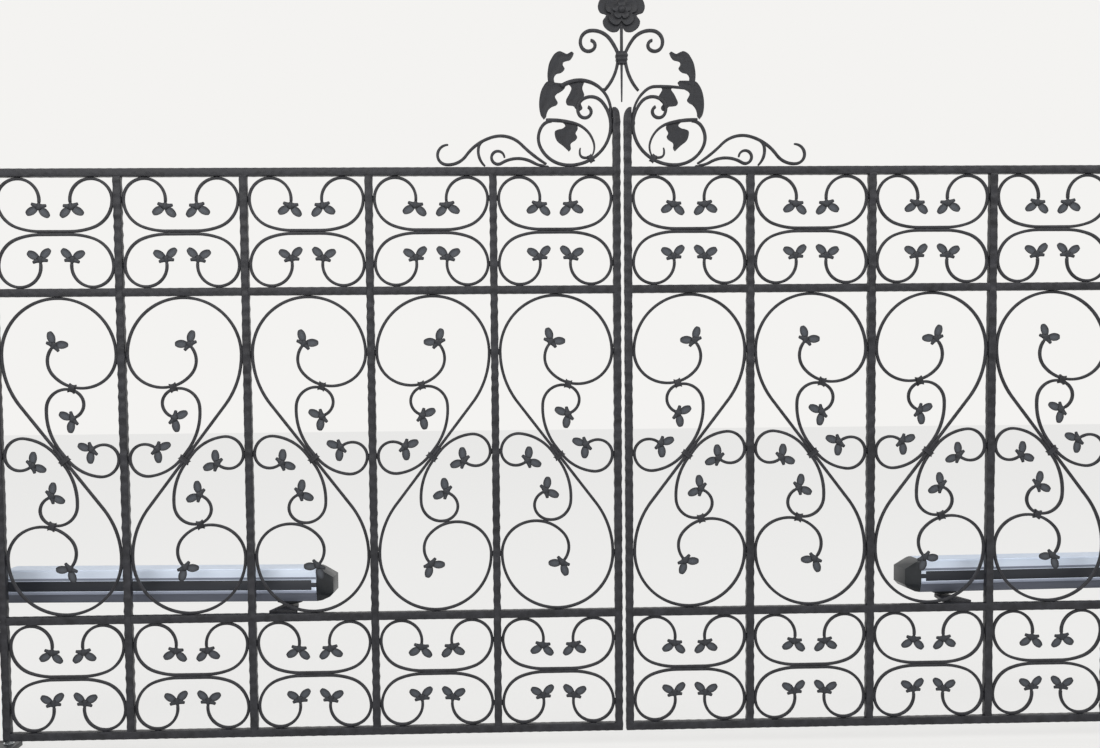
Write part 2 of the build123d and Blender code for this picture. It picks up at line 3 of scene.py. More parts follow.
import bmesh
import bpy
import numpy as np
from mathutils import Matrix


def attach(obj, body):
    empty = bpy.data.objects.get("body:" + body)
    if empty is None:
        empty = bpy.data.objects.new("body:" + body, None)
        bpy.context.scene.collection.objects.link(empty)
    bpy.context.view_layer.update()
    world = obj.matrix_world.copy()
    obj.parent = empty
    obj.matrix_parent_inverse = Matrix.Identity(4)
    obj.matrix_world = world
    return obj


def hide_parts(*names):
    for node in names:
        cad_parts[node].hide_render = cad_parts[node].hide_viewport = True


# Double driveway gate of hammered forged bars, with a scrolled crown, steel posts and two linear operators.
# Shapes are worked out in millimetres on the left leaf, as (x from the gap between the leaves, depth into the
# courtyard, height), and put in place in metres. The right leaf's shapes are turned over in x.

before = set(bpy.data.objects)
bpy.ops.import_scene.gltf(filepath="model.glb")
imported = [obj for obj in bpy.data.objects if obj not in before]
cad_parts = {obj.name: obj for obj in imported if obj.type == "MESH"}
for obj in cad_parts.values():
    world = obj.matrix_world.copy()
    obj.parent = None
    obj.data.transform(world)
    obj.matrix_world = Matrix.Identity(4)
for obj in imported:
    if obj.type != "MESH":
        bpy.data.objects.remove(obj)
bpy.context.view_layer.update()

# Frame of a leaf
GAP_X = 2050.0
BAYS = 5
BAY_PITCH = 384.0
BAR = 25.0
BAY_CLEAR = BAY_PITCH - BAR
BOTTOM_RAIL_Z = 62.5
LOWER_MID_Z = 427.5
UPPER_MID_Z = 1444.5
TOP_RAIL_Z = 1809.5
RAIL_TOP = TOP_RAIL_Z + BAR / 2
GROUND_GAP = 50.0
STILE_TOP = RAIL_TOP + 182.0
STILE_NOSE = 30.0
# How far a bar runs into the one that it meets
INTO = 4.0
# Hammer blows along a bar: depth and spacing
UPRIGHT_BLOWS = (2.4, 37.0)
MEETING_BLOWS = (2.2, 37.0)
RAIL_BLOWS = (0.8, 31.0)
MEETING_STILE_X = -17.5
STILE_FACE = -30.0
HINGE_STILE_X = MEETING_STILE_X - BAYS * BAY_PITCH
PANEL_HEIGHT = 992.0
BAND_HEIGHT = 340.0

# Scroll bars; a curl or hook is a list of arcs (radius, turn in degrees), and a turn of 0 makes a straight run
ROD = 9.0
WELD_GAP = 0.2
SEAT = ROD / 2 + WELD_GAP
S_SHOULDER = 260.0
S_CURL = [(100, 62), (115, 43), (115, 35), (66, 76)]
UPPER_HOOK = [(50, 45), (42, 50), (46, 42)]
SIDE_HOOK = [(45, -80), (50, -42)]
SIDE_TOUCH = 6.0
COLLAR_SLIP = 13.0
SIDE_BY_SIDE = (16, 12)
PLAIN_TOUCH_BAYS = 3
BAND_LOBE_RADIUS = 64.0
BAND_LOBE_TURN = 187.0
BAND_BACK = 45.0
BAND_EASE = 20.0
BAND_WELD = 38.0

# Crown, drawn from the stile's outer face, heights above the top rail
BIG_C_HEIGHT = 128.5
BIG_C_UPPER = [(110, 40), (46, 82), (36, 83), (20.5, 124), (16.5, 100)]
BIG_C_LOWER = [(118, -42.5), (131, -17), (131, -38), (95.5, -57.5), (64, -60), (37.5, -55)]
LEFT_ARCH = (181.8, 97.8, [(98.5, 32.5), (95, 67.5), (129.5, 15)])
RIGHT_ARCH = (162, 96.5, [(110, 46.5), (45.5, 35), (500, 10.6)])
BRANCH_HEADING = 49.5
BRANCH = [(51, 56), (85, 59.5), (283, 18)]
HOOK_START = (-61, 33, 205)
HOOK = [(48, -35), (14, -75), (60, -10), (14, -30)]
WAVE_START = (-205, 17.5, 149)
WAVE_LONG = [(400, -14), (91.5, 60), (153, 12), (153, 26.5), (68.5, -59.5), (29, -91), (32, -86)]
WAVE_BUD = [(27.5, 50), (61, 62)]
WAVE_SHORT_START = (-210, 5.2, 180)
WAVE_SHORT = [(70, -30), (97.5, 61.5), (20, -144), (20, -160)]

# Finial
BOSS_Z = RAIL_TOP + 330.5
FINIAL_C = [(201, 18), (67, 61.5), (34.5, 108.5), (23.5, 108), (15.5, 132)]
SPEAR_LENGTH = 131.0
ROSETTE_RISE = 148.0
ROSETTE_Z = BOSS_Z + ROSETTE_RISE
PETAL_CIRCLE = 47.0
PETAL_RADIUS = 27.5

# Operators
PIVOT = (-10.0, 160.0)
OPERATOR_Z = 515.0
OPERATOR_ANGLE = math.degrees(math.atan2(115.0 - 160.0, 75.0 + 907.0 + 10.0))
HOUSING_START = 80.0
HOUSING_END = 1084.0
HOUSING_HALF = 53.5
HOUSING_FRONT = -44.0
CAD_CORNER = 9.0
CORNER = 2.5
TAPER_START = 26.0

# Bolts of the feet and of the operators' shelves, from the middle of a post
FOOT_THICKNESS = 16.0
ANCHOR_REACH = 80.0
SHELF_BOLTS = (36.0, 44.0)
SHELF_FACE = 58.0

# Materials


def linear(hex_colour):
    """sRGB hex to linear: each channel is divided by 12.92 below 0.04045, else ((c + 0.055) / 1.055) ^ 2.4."""
    values = []
    for start in (1, 3, 5):
        c = int(hex_colour[start:start + 2], 16) / 255
        values.append(c / 12.92 if c <= 0.04045 else ((c + 0.055) / 1.055) ** 2.4)
    return (*values, 1.0)


def add(tree, kind, links=None, **settings):
    """Adds a node: settings are its properties, or its inputs where no property has the name."""
    node = tree.nodes.new(kind)
    for name, value in settings.items():
        if hasattr(node, name):
            setattr(node, name, value)
        else:
            node.inputs[name.replace("_", " ")].default_value = value
    for name, source in (links or {}).items():
        tree.links.new(source, node.inputs[name])
    return node


def per_metre(millimetres):
    """Texture scale whose pattern repeats about every so many millimetres."""
    return 1000.0 / millimetres


def new_material(name, **settings):
    """A material with one Principled shader; returns it, its node tree and the shader."""
    material = bpy.data.materials.new(name)
    material.use_nodes = True
    tree = material.node_tree
    tree.nodes.clear()
    shader = add(tree, "ShaderNodeBsdfPrincipled", **settings)
    add(tree, "ShaderNodeOutputMaterial", links={"Surface": shader.outputs["BSDF"]})
    return material, tree, shader


def mottled(name, dark, light, patch, rough, grain, grain_height, dents=None, dent_height=0.0, metal=0.0,
            stretch=(1.0, 1.0, 1.0), hollow=None, **settings):
    """A finish whose colour and gloss drift in patches, over a fine grain and, where it was hammered, dents.

    dark and light are the two colours, rough the two roughness limits; patch, grain and dents are pattern sizes
    and the heights are relief, all in millimetres. stretch scales the object's axes for drawn or extruded grain.
    hollow is a painted highlight: the colour that the mesh's own hollow values, 0 on a rim and 1 in the dish, fade
    in.
    """
    material, tree, shader = new_material(name, Metallic=metal, **settings)
    place = add(tree, "ShaderNodeTexCoord")
    turned = add(tree, "ShaderNodeMapping", Scale=stretch, links={"Vector": place.outputs["Object"]})
    vector = turned.outputs["Vector"]
    drift = add(tree, "ShaderNodeTexNoise", Scale=per_metre(patch), Detail=4.0, Roughness=0.6,
                links={"Vector": vector})
    shade = add(tree, "ShaderNodeMapRange", From_Min=0.32, From_Max=0.68, links={"Value": drift.outputs["Fac"]})
    colour = add(tree, "ShaderNodeMix", data_type="RGBA", links={"Factor": shade.outputs["Result"]})
    colour.inputs[6].default_value = linear(dark)
    colour.inputs[7].default_value = linear(light)
    tint = colour.outputs[2]
    # Painted highlight: a paler colour faded in by the mesh's hollow values, strongest deep in each dish.
    if hollow:
        dish = add(tree, "ShaderNodeAttribute", attribute_name="hollow")
        faded = add(tree, "ShaderNodeMix", data_type="RGBA", links={"Factor": dish.outputs["Fac"]})
        tree.links.new(tint, faded.inputs[6])
        faded.inputs[7].default_value = linear(hollow)
        tint = faded.outputs[2]
    tree.links.new(tint, shader.inputs["Base Color"])
    speck = add(tree, "ShaderNodeTexNoise", Scale=per_metre(grain), Detail=2.0, links={"Vector": vector})
    gloss = add(tree, "ShaderNodeMapRange", From_Min=0.3, From_Max=0.7, To_Min=rough[0], To_Max=rough[1],
                links={"Value": drift.outputs["Fac"]})
    tree.links.new(gloss.outputs["Result"], shader.inputs["Roughness"])
    relief = add(tree, "ShaderNodeBump", Distance=grain_height / 1000, Strength=1.0,
                 links={"Height": speck.outputs["Fac"]})
    if dents:
        blow = add(tree, "ShaderNodeTexVoronoi", feature="SMOOTH_F1", Scale=per_metre(dents), Smoothness=0.6,
                   links={"Vector": place.outputs["Object"]})
        relief = add(tree, "ShaderNodeBump", Distance=dent_height / 1000, Strength=1.0,
                     links={"Height": blow.outputs["Distance"], "Normal": relief.outputs["Normal"]})
    tree.links.new(relief.outputs["Normal"], shader.inputs["Normal"])
    return material


# Brushed satin alkyd paint on forged bar: slate grey, lighter where it lies thin, over 16 mm hammer dents.
forged_paint = mottled("satin_paint_on_forged_iron", "#1c1c1f", "#2d2d31", 30.0, (0.34, 0.5), 1.6, 0.12,
                       dents=16.0, dent_height=1.2, Specular_IOR_Level=0.3)
# The same paint on pressed leaves; the paler slate faded into their dished faces is a painted highlight.
leaf_paint = mottled("satin_paint_on_pressed_leaf", "#1c1c1f", "#26272b", 18.0, (0.38, 0.55), 1.6, 0.15,
                     hollow="#484b50", Specular_IOR_Level=0.3)
# The same paint sprayed on rolled square tube: even, with the fine orange peel of a spray gun.
post_paint = mottled("sprayed_paint_on_rolled_steel", "#202124", "#28292c", 160.0, (0.36, 0.46), 2.5, 0.08,
                     Specular_IOR_Level=0.3)
# Clear anodised extruded aluminium: silvery and soft, with die lines along its length 0.7 mm apart.
aluminium = mottled("anodised_extruded_aluminium", "#ccd6e5", "#dae2ee", 60.0, (0.46, 0.54), 0.7, 0.02,
                    metal=0.4, stretch=(0.02, 1.0, 1.0))
# The same aluminium, darker, on the side of the extrusion that leans in under the slot: painted shade.
shaded_aluminium = mottled("aluminium_with_painted_shade", "#5c606b", "#6a6e79", 60.0, (0.4, 0.5), 0.7, 0.02,
                         metal=0.4, stretch=(0.02, 1.0, 1.0))
# The same extrusion's lips beside the slot: a little duller, and darker by painted shade.
shaded_slope_aluminium = mottled("aluminium_lip_with_painted_shade", "#868c9b", "#9298a6", 60.0, (0.5, 0.6), 0.7, 0.02,
                          metal=0.3, stretch=(0.02, 1.0, 1.0))
# Moulded black plastic: spark-eroded mould grain about 0.8 mm across, drawn at 1.2 mm so that it shows.
black_plastic = mottled("moulded_black_plastic", "#191c1f", "#232629", 35.0, (0.3, 0.42), 1.2, 0.04,
                        Specular_IOR_Level=0.4)
# Extruded soft plastic slot cover: matt blue-black, with faint lines along its length.
slot_cover = mottled("extruded_black_slot_cover", "#181b22", "#20242c", 50.0, (0.45, 0.6), 1.5, 0.04,
                     stretch=(0.05, 1.0, 1.0))
# Black powder coat on cast metal: pebbled by the powder's 1.5 mm flow.
cast_black = mottled("powder_coated_cast_metal", "#1e2022", "#292c2f", 30.0, (0.45, 0.6), 1.5, 0.12)
# Zinc-plated steel bolts: pale and slightly blotched by passivation.
zinc = mottled("zinc_plated_steel", "#a9adb0", "#c6c9c9", 12.0, (0.3, 0.42), 0.8, 0.02, metal=0.9)

# Finish of most pieces, paired with a slot name
FORGED = (forged_paint, "painted_iron")
PRESSED = (leaf_paint, "painted_iron")

# Meshes from grids of points


def new_object(name, data):
    """An object at the origin, linked to the scene."""
    thing = bpy.data.objects.new(name, data)
    bpy.context.scene.collection.objects.link(thing)
    return thing


def ring_quads(rows, columns):
    """Quads between neighbouring rows of points, where each row closes round on itself."""
    i = np.arange(rows - 1)[:, None] * columns
    j = np.arange(columns)[None, :]
    k = (j + 1) % columns
    return np.stack([i + j, i + k, i + columns + k, i + columns + j], -1).reshape(-1, 4)


def in_place(rings, side):
    """Millimetres on the left leaf to metres in the gate's frame: x is turned over for the right leaf."""
    return np.stack([GAP_X + side * rings[..., 0], rings[..., 1], rings[..., 2]], -1) / 1000


def make_piece(name, shells, body, nodes, material, slot, side=1, smooth=True, hollow=None):
    """One object from shells, each an array of rings (rows, columns, 3); rings of equal points close as poles.

    hollow holds the painted highlight's share for each point of the first shells, repeated over the rest.
    """
    points, faces, first = [], [], 0
    for rings in shells:
        rows, columns = rings.shape[:2]
        points.append(in_place(rings, side).reshape(-1, 3))
        faces.append(ring_quads(rows, columns) + first)
        first += rows * columns
    points, faces = np.concatenate(points), np.concatenate(faces)
    mesh = bpy.data.meshes.new(name)
    mesh.vertices.add(len(points))
    mesh.vertices.foreach_set("co", points.astype(np.float32).ravel())
    mesh.loops.add(faces.size)
    mesh.loops.foreach_set("vertex_index", faces.astype(np.int32).ravel())
    mesh.polygons.add(len(faces))
    mesh.polygons.foreach_set("loop_start", np.arange(0, faces.size, 4, dtype=np.int32))
    mesh.update(calc_edges=True)
    # Per-point share of the painted highlight in the leaves' dishes
    if hollow is not None:
        values = mesh.attributes.new("hollow", "FLOAT", "POINT")
        values.data.foreach_set("value", np.tile(hollow, len(points) // len(hollow)).astype(np.float32))
    return finished(name, mesh, body, nodes, material, smooth)


def finished(name, mesh, body, nodes, material, smooth=True):
    """Merges a mesh's equal points, turns its faces outwards and puts the piece on its body."""
    work = bmesh.new()
    work.from_mesh(mesh)
    bmesh.ops.remove_doubles(work, verts=work.verts, dist=2e-6)
    bmesh.ops.recalc_face_normals(work, faces=work.faces)
    work.to_mesh(mesh)
    work.free()
    mesh.polygons.foreach_set("use_smooth", np.full(len(mesh.polygons), smooth))
    mesh.materials.append(material)
    piece = new_object(name, mesh)
    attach(piece, body)
    if nodes:
        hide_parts(*nodes)
    return piece


def softened(node, body, material, slot, width):
    """A copy of a CAD node with its triangles joined and every hard edge rounded by a bevel, width in mm."""
    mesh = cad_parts[node].data.copy()
    mesh.materials.clear()
    piece = finished(node + "_softened", mesh, body, [node], material)
    work = bmesh.new()
    work.from_mesh(mesh)
    bmesh.ops.dissolve_limit(work, angle_limit=math.radians(0.5), verts=work.verts, edges=work.edges)
    work.to_mesh(mesh)
    work.free()
    bevel = piece.modifiers.new("rounded_edges", "BEVEL")
    bevel.width = width / 1000
    bevel.segments = 2
    bevel.limit_method = "ANGLE"
    bevel.angle_limit = math.radians(40)
    bevel.harden_normals = True
    return piece


# Paths in the gate's plane


def step(state, amount, turn, share=1.0):
    """State (x, z, heading in degrees) after a share of a straight run (length, 0) or of an arc (radius, turn).

    On an arc it is the centre plus the radius, turned through that share of the turn.
    """
    x, z, heading = state
    h = math.radians(heading)
    if turn == 0:
        return (x + amount * share * math.cos(h), z + amount * share * math.sin(h), heading + 0 * share)
    radius = math.copysign(amount, turn)
    end = h + math.radians(turn) * share
    return (x - radius * math.sin(h) + radius * np.sin(end), z + radius * math.cos(h) - radius * np.cos(end),
            heading + turn * share)


def follow(state, moves):
    """State after a list of runs and arcs."""
    for move in moves:
        state = step(state, *move)
    return state


def beside(state, offset):
    """Point at the given distance to the left of a state."""
    h = math.radians(state[2])
    return (state[0] - offset * math.sin(h), state[1] + offset * math.cos(h))


def turned(state):
    """The same point, facing the other way."""
    return (state[0], state[1], state[2] + 180)


def arc_to(state, point):
    """Radius and turn of the arc that leaves a state and reaches a point."""
    x, z, heading = state
    half = (math.degrees(math.atan2(point[1] - z, point[0] - x)) - heading + 180) % 360 - 180
    return (math.hypot(point[0] - x, point[1] - z) / (2 * abs(math.sin(math.radians(half)))), 2 * half)


def biarc(start, goal):
    """Two tangent arcs that lead from one state to another."""
    (x1, z1, h1), (x2, z2, h2) = start, goal
    c1, s1 = math.cos(math.radians(h1)), math.sin(math.radians(h1))
    c2, s2 = math.cos(math.radians(h2)), math.sin(math.radians(h2))
    vx, vz = x2 - x1, z2 - z1
    along = vx * (c1 + c2) + vz * (s1 + s2)
    spread = 2 * (1 - c1 * c2 - s1 * s2)
    reach = (math.sqrt(along ** 2 + spread * (vx ** 2 + vz ** 2)) - along) / spread
    joint = ((x1 + x2 + reach * (c1 - c2)) / 2, (z1 + z2 + reach * (s1 - s2)) / 2)
    first = arc_to(start, joint)
    return [first, arc_to(step(start, *first), (x2, z2))]


def path_along(state, moves, spacing=6.5):
    """Rows (x, z, heading) along runs and arcs, at equal steps of about the spacing in each."""
    rows = [np.array([state], float)]
    for amount, turn in moves:
        length = amount if turn == 0 else amount * math.radians(abs(turn))
        share = np.linspace(0, 1, max(2, math.ceil(length / spacing)) + 1)[1:]
        rows.append(np.stack(step(state, amount, turn, share), -1))
        state = step(state, amount, turn)
    return np.concatenate(rows)


def backwards(path):
    """The same path walked from its other end."""
    return path[::-1] + (0, 0, 180)


def joined(one, other):
    """Two paths that leave the same point in opposite directions, as one path from end to end."""
    return np.concatenate([backwards(one), other[1:]])


def half_turned(path):
    """A path turned through 180 degrees about the origin."""
    return path * (-1, -1, 1) + (0, 0, 180)


def turned_over(path):
    """A path mirrored left to right."""
    return path * (-1, 1, -1) + (0, 0, 180)


# Surfaces


def rotated(a, b, degrees):
    """A pair of coordinates turned about the origin."""
    c, s = math.cos(math.radians(degrees)), math.sin(math.radians(degrees))
    return a * c - b * s, a * s + b * c


def square_profile(corner, per_corner):
    """Points round a square of half width 1 with round corners, each corner an arc of equal steps."""
    quarter = np.linspace(0, math.pi / 2, per_corner)
    parts = []
    for k, (cx, cy) in enumerate([(1, 1), (-1, 1), (-1, -1), (1, -1)]):
        a = quarter + k * math.pi / 2
        parts.append(np.stack([cx * (1 - corner) + corner * np.cos(a), cy * (1 - corner) + corner * np.sin(a)], -1))
    return np.concatenate(parts)


ROD_PROFILE = square_profile(0.34, 3)


def rod(path, size=ROD + 0.3, ends=(1.0, 1.0), taper=45.0):
    """A forged bar: a round-cornered square carried along a path, with slow lumps from the hammer.

    Point = path + half * (profile x * left normal, profile y). half = size / 2, drawn down to its ends[]
    share over the last taper millimetres, and less a lump of up to 0.3 mm that is a product of two sines of the
    length. Both ends close on the middle point through a smaller ring.
    """
    x, z, heading = path.T
    h = np.radians(heading)
    s = np.concatenate([[0.0], np.cumsum(np.hypot(np.diff(x), np.diff(z)))])
    lump = 0.15 + 0.15 * np.sin(s / 6.1 + x[0]) * np.sin(s / 9.7 + z[0])
    share = ends[0] + (1 - ends[0]) * np.clip(s / taper, 0, 1) ** 0.7
    share = share * (ends[1] + (1 - ends[1]) * np.clip((s[-1] - s) / taper, 0, 1) ** 0.7)
    half = (size / 2 - lump) * share
    order = np.concatenate([[0, 0], np.arange(len(x)), [-1, -1]])
    scale = np.concatenate([[0, 0.72], np.ones(len(x)), [0.72, 0]])
    inset = np.zeros(len(order))
    inset[2], inset[-3] = 1.2, -1.2
    x, z, h, half = x[order] + inset * np.cos(h[order]), z[order] + inset * np.sin(h[order]), h[order], half[order]
    across = (half * scale)[:, None] * ROD_PROFILE[:, 0]
    deep = (half * scale)[:, None] * ROD_PROFILE[:, 1]
    return np.stack([x[:, None] - across * np.sin(h)[:, None], deep, z[:, None] + across * np.cos(h)[:, None]], -1)


BAR_PROFILE = square_profile(0.14, 4)


def hammered_bar(start, length, upright, blows, seed):
    """A square bar whose edges are hammered into scallops.

    The profile's side k is drawn in by dent * |sin(pi * (s + w(s)) / pitch + phase k)|^1.3, where s is the length, w
    drifts by a few millimetres, so that no two blows are the same distance apart, and dent drifts by half. Both ends
    close on their middle.
    """
    dent, pitch = blows
    rows = max(8, math.ceil(length / 5.0))
    s = np.linspace(0, length, rows + 1)
    drift = 5.0 * np.sin(s / 97.0 + seed) + 2.5 * np.sin(s / 43.0 + 2.1 * seed)
    profile = np.broadcast_to(BAR_PROFILE * BAR / 2, (rows + 1, len(BAR_PROFILE), 2)).copy()
    strength = dent * (0.75 + 0.25 * np.sin(s / 37.0 + 3.3 * seed))
    for axis in (0, 1):
        for sign in (-1, 1):
            blow = strength * np.abs(np.sin(math.pi * (s + drift) / pitch + seed * (2 + axis) + sign)) ** 1.3
            weight = np.clip(sign * BAR_PROFILE[:, axis], 0, 1) * np.clip(np.abs(BAR_PROFILE[:, 1 - axis]), 0.35, 1)
            profile[..., axis] -= sign * blow[:, None] * weight
    profile = np.concatenate([profile[:1] * 0, profile[:1] * 0.9, profile, profile[-1:] * 0.9, profile[-1:] * 0])
    s = np.concatenate([s[:1], s[:1], s[:1] + 1.0, s[1:-1], s[-1:] - 1.0, s[-1:], s[-1:]])
    along = np.broadcast_to(s[:, None], profile.shape[:2])
    if upright:
        return np.stack([start[0] + profile[..., 0], profile[..., 1], start[1] + along], -1)
    return np.stack([start[0] + along, profile[..., 1], start[1] + profile[..., 0]], -1)


def leaf_grid(rows, columns):
    """u from foot to tip, closer together at both, and a once round each section."""
    return ((0.5 - 0.5 * np.cos(np.linspace(0, math.pi, rows)))[:, None],
            np.linspace(0, 2 * math.pi, columns, endpoint=False)[None, :])


def blade(length, outline, thickness, dish, foot=(0.0, 0.0), turn=0.0, rows=11, columns=12, lift=0.0):
    """A pressed leaf along +X from its foot, turned in its plane.

    outline holds the half widths at equal steps from foot to tip, joined by straight lines. Round each section, with
    a going once round, the point across is width * cos a and the depth is lift - dish * cos^2 a - thickness / 2 *
    sin a, so the front is hollow, its rim stands forward and a midrib of 0.6 mm runs down it. Both ends are poles.
    """
    u, a = leaf_grid(rows, columns)
    width = np.interp(u, np.linspace(0, 1, len(outline)), outline)
    width[[0, -1]] = 0
    full = width / max(outline)
    rib = 0.6 * np.exp(-(np.cos(a) / 0.2) ** 2) * (np.sin(a) > 0)
    depth = lift - full * (dish * np.cos(a) ** 2 + rib) - full ** 0.5 * thickness / 2 * np.sin(a)
    along, across = rotated(length * u + 0 * a, width * np.cos(a), turn)
    return np.stack([foot[0] + along, foot[1] + across, depth], -1)


def painted_highlight_of(rows, columns, strength):
    """Share of painted highlight: 1 where a leaf's front is deepest, 0 on its rim and its back: sin(pi * u)^0.7 *
    sin(a)^3, a going round it.
    """
    u, a = leaf_grid(rows, columns)
    return (strength * np.sin(math.pi * u) ** 0.7 * np.clip(np.sin(a), 0, 1) ** 3).ravel()


# Pair of leaves over a flared calyx with two side lobes, drawn along +X from the bar's end, as (along, across, depth)
CALYX = (4.0, 4.2, 4.8, 6.2, 8.4, 10.2, 10.8, 9.2, 5.0)
LOBE = (10.5, 9.8, 8.7, 7.4, 6.4, 5.8, 5.5, 5.1, 4.0)
LEAF = (5.0, 7.2, 9.6, 11.4, 12.5, 12.9, 12.7, 11.9, 10.5, 8.3, 4.8)
LEAF_PAIR = [blade(29.0, CALYX, 7.4, 0.0, foot=(-5.0, 0), rows=9, columns=12)]
LEAF_PAIR += [blade(25.0, LOBE, 4.6, 0.5, foot=(13.5, 0), turn=k * 106.0, rows=9, columns=8) for k in (1, -1)]
LEAF_PAIR += [blade(42.0, LEAF, 2.4, 3.4, foot=(16.0, k * 1.5), turn=k * 54.0, lift=1.4) for k in (1, -1)]
# Share of painted highlight at each point of the leaf pair's five shells
LEAF_PAINTED_HIGHLIGHT = np.concatenate([painted_highlight_of(9, 12, 0.3)] + 2 * [painted_highlight_of(9, 8, 0.4)] + 2 * [painted_highlight_of(11, 12, 1.0)])


def placed(shell, state):
    """A shell drawn along +X as (along, across, depth), set in the gate's plane at a state."""
    across, up = rotated(shell[..., 0], shell[..., 1], state[2])
    return np.stack([state[0] + across, shell[..., 2], state[1] + up], -1)


def collar(bars, half_length=10.0, ear_height=3.5):
    """A wrap round bars side by side along X, its edges drawn out into ears.

    Along x, with t = |x| / half_length, the half width is the bars' plus 2.6 plus ear and the half depth 6.6 plus
    ear / 4, where ear = ear_height * clip((t - 0.35) / 0.65, 0, 1)^1.4. Ends close on their middle.
    """
    t = np.array([-1, -1, -0.96, -0.75, -0.5, -0.25, 0, 0.25, 0.5, 0.75, 0.96, 1, 1.0])
    scale = np.array([0, 0.86] + [1.0] * 9 + [0.86, 0])
    ear = ear_height * np.clip((np.abs(t) - 0.35) / 0.65, 0, 1) ** 1.4
    half = (bars * ROD + (bars - 1) * WELD_GAP) / 2 + 2.6 + ear
    profile = square_profile(0.3, 3)
    across = (half * scale)[:, None] * profile[:, 0]
    depth = ((6.6 + ear / 4) * scale)[:, None] * profile[:, 1]
    return np.stack([np.broadcast_to(half_length * t[:, None], across.shape), across, depth], -1)


def weld(x, z, along=9.0, across=5.0, heading=0.0, depth=4.0):
    """A weld bead: an ellipsoid along a heading, its radius rippled by the runs of the torch."""
    t = np.linspace(-1, 1, 7)[:, None]
    a = np.linspace(0, 2 * math.pi, 8, endpoint=False)[None, :]
    radius = np.sqrt(np.clip(1 - t ** 2, 0, 1)) * (1 + 0.12 * np.cos(9 * t + 3 * a + x))
    shell = np.stack([along * t + 0 * a, across * radius * np.cos(a), depth * radius * np.sin(a)], -1)
    return placed(shell, (x, z, heading))


def smooth_line(points, count):
    """Catmull-Rom curve through points, at equal steps of its length."""
    p = np.array(points, float)
    p = np.concatenate([2 * p[:1] - p[1:2], p, 2 * p[-1:] - p[-2:-1]])
    t = np.linspace(0, 1, 24, endpoint=False)[:, None]
    rows = []
    for a, b, c, d in zip(p, p[1:], p[2:], p[3:]):
        rows.append(b + t * (c - a) / 2 + t ** 2 * (2 * a - 5 * b + 4 * c - d) / 2
                    + t ** 3 * (3 * b - 3 * c + d - a) / 2)
    line = np.concatenate(rows + [p[-2:-1]])
    s = np.concatenate([[0.0], np.cumsum(np.hypot(*np.diff(line, axis=0).T))])
    wanted = np.linspace(0, s[-1], count)
    return np.stack([np.interp(wanted, s, line[:, 0]), np.interp(wanted, s, line[:, 1])], -1)


def sheet_leaf(edge_a, edge_b, rows=34, thickness=3.0, dish=2.2, ripple=0.5):
    """A sheet leaf between two edges that run from its foot to its tip, in the gate's plane.

    Round each section, with a going once round, the point is the mix of both edges at (1 + cos a) / 2. Its depth is
    dish * (0.5 - cos^2 a) - ripple * cos(6 a) * sin(pi * u) - thickness / 2 * sin a, u going from foot to tip, so the
    sheet is hollow with veins along it.
    """
    a = np.linspace(0, 2 * math.pi, 20, endpoint=False)[None, :, None]
    one, other = smooth_line(edge_a, rows)[:, None, :], smooth_line(edge_b, rows)[:, None, :]
    share = (1 + np.cos(a)) / 2
    flat = one * (1 - share) + other * share
    u = np.linspace(0, 1, rows)[:, None]
    a = a[..., 0]
    depth = dish * (0.5 - np.cos(a) ** 2) - ripple * np.cos(6 * a) * np.sin(math.pi * u) - thickness / 2 * np.sin(a)
    rings = np.stack([flat[..., 0], depth, flat[..., 1]], -1)
    foot = np.broadcast_to(rings[:1].mean(1, keepdims=True), rings[:1].shape)
    tip = np.broadcast_to(rings[-1:].mean(1, keepdims=True), rings[-1:].shape)
    return np.concatenate([foot, rings, tip])


def lathe(outline, place, around=24, axis="z"):
    """Outline (radius, height) turned about a vertical line through a place, or about a line across the gate."""
    a = np.linspace(0, 2 * math.pi, around, endpoint=False)
    r, h = np.array(outline, float).T
    one, other = r[:, None] * np.cos(a), r[:, None] * np.sin(a)
    high = np.broadcast_to(h[:, None], one.shape)
    rings = np.stack([one, other, high], -1) if axis == "z" else np.stack([one, high, other], -1)
    return rings + np.array(place, float)


# The bars of a leaf's frame


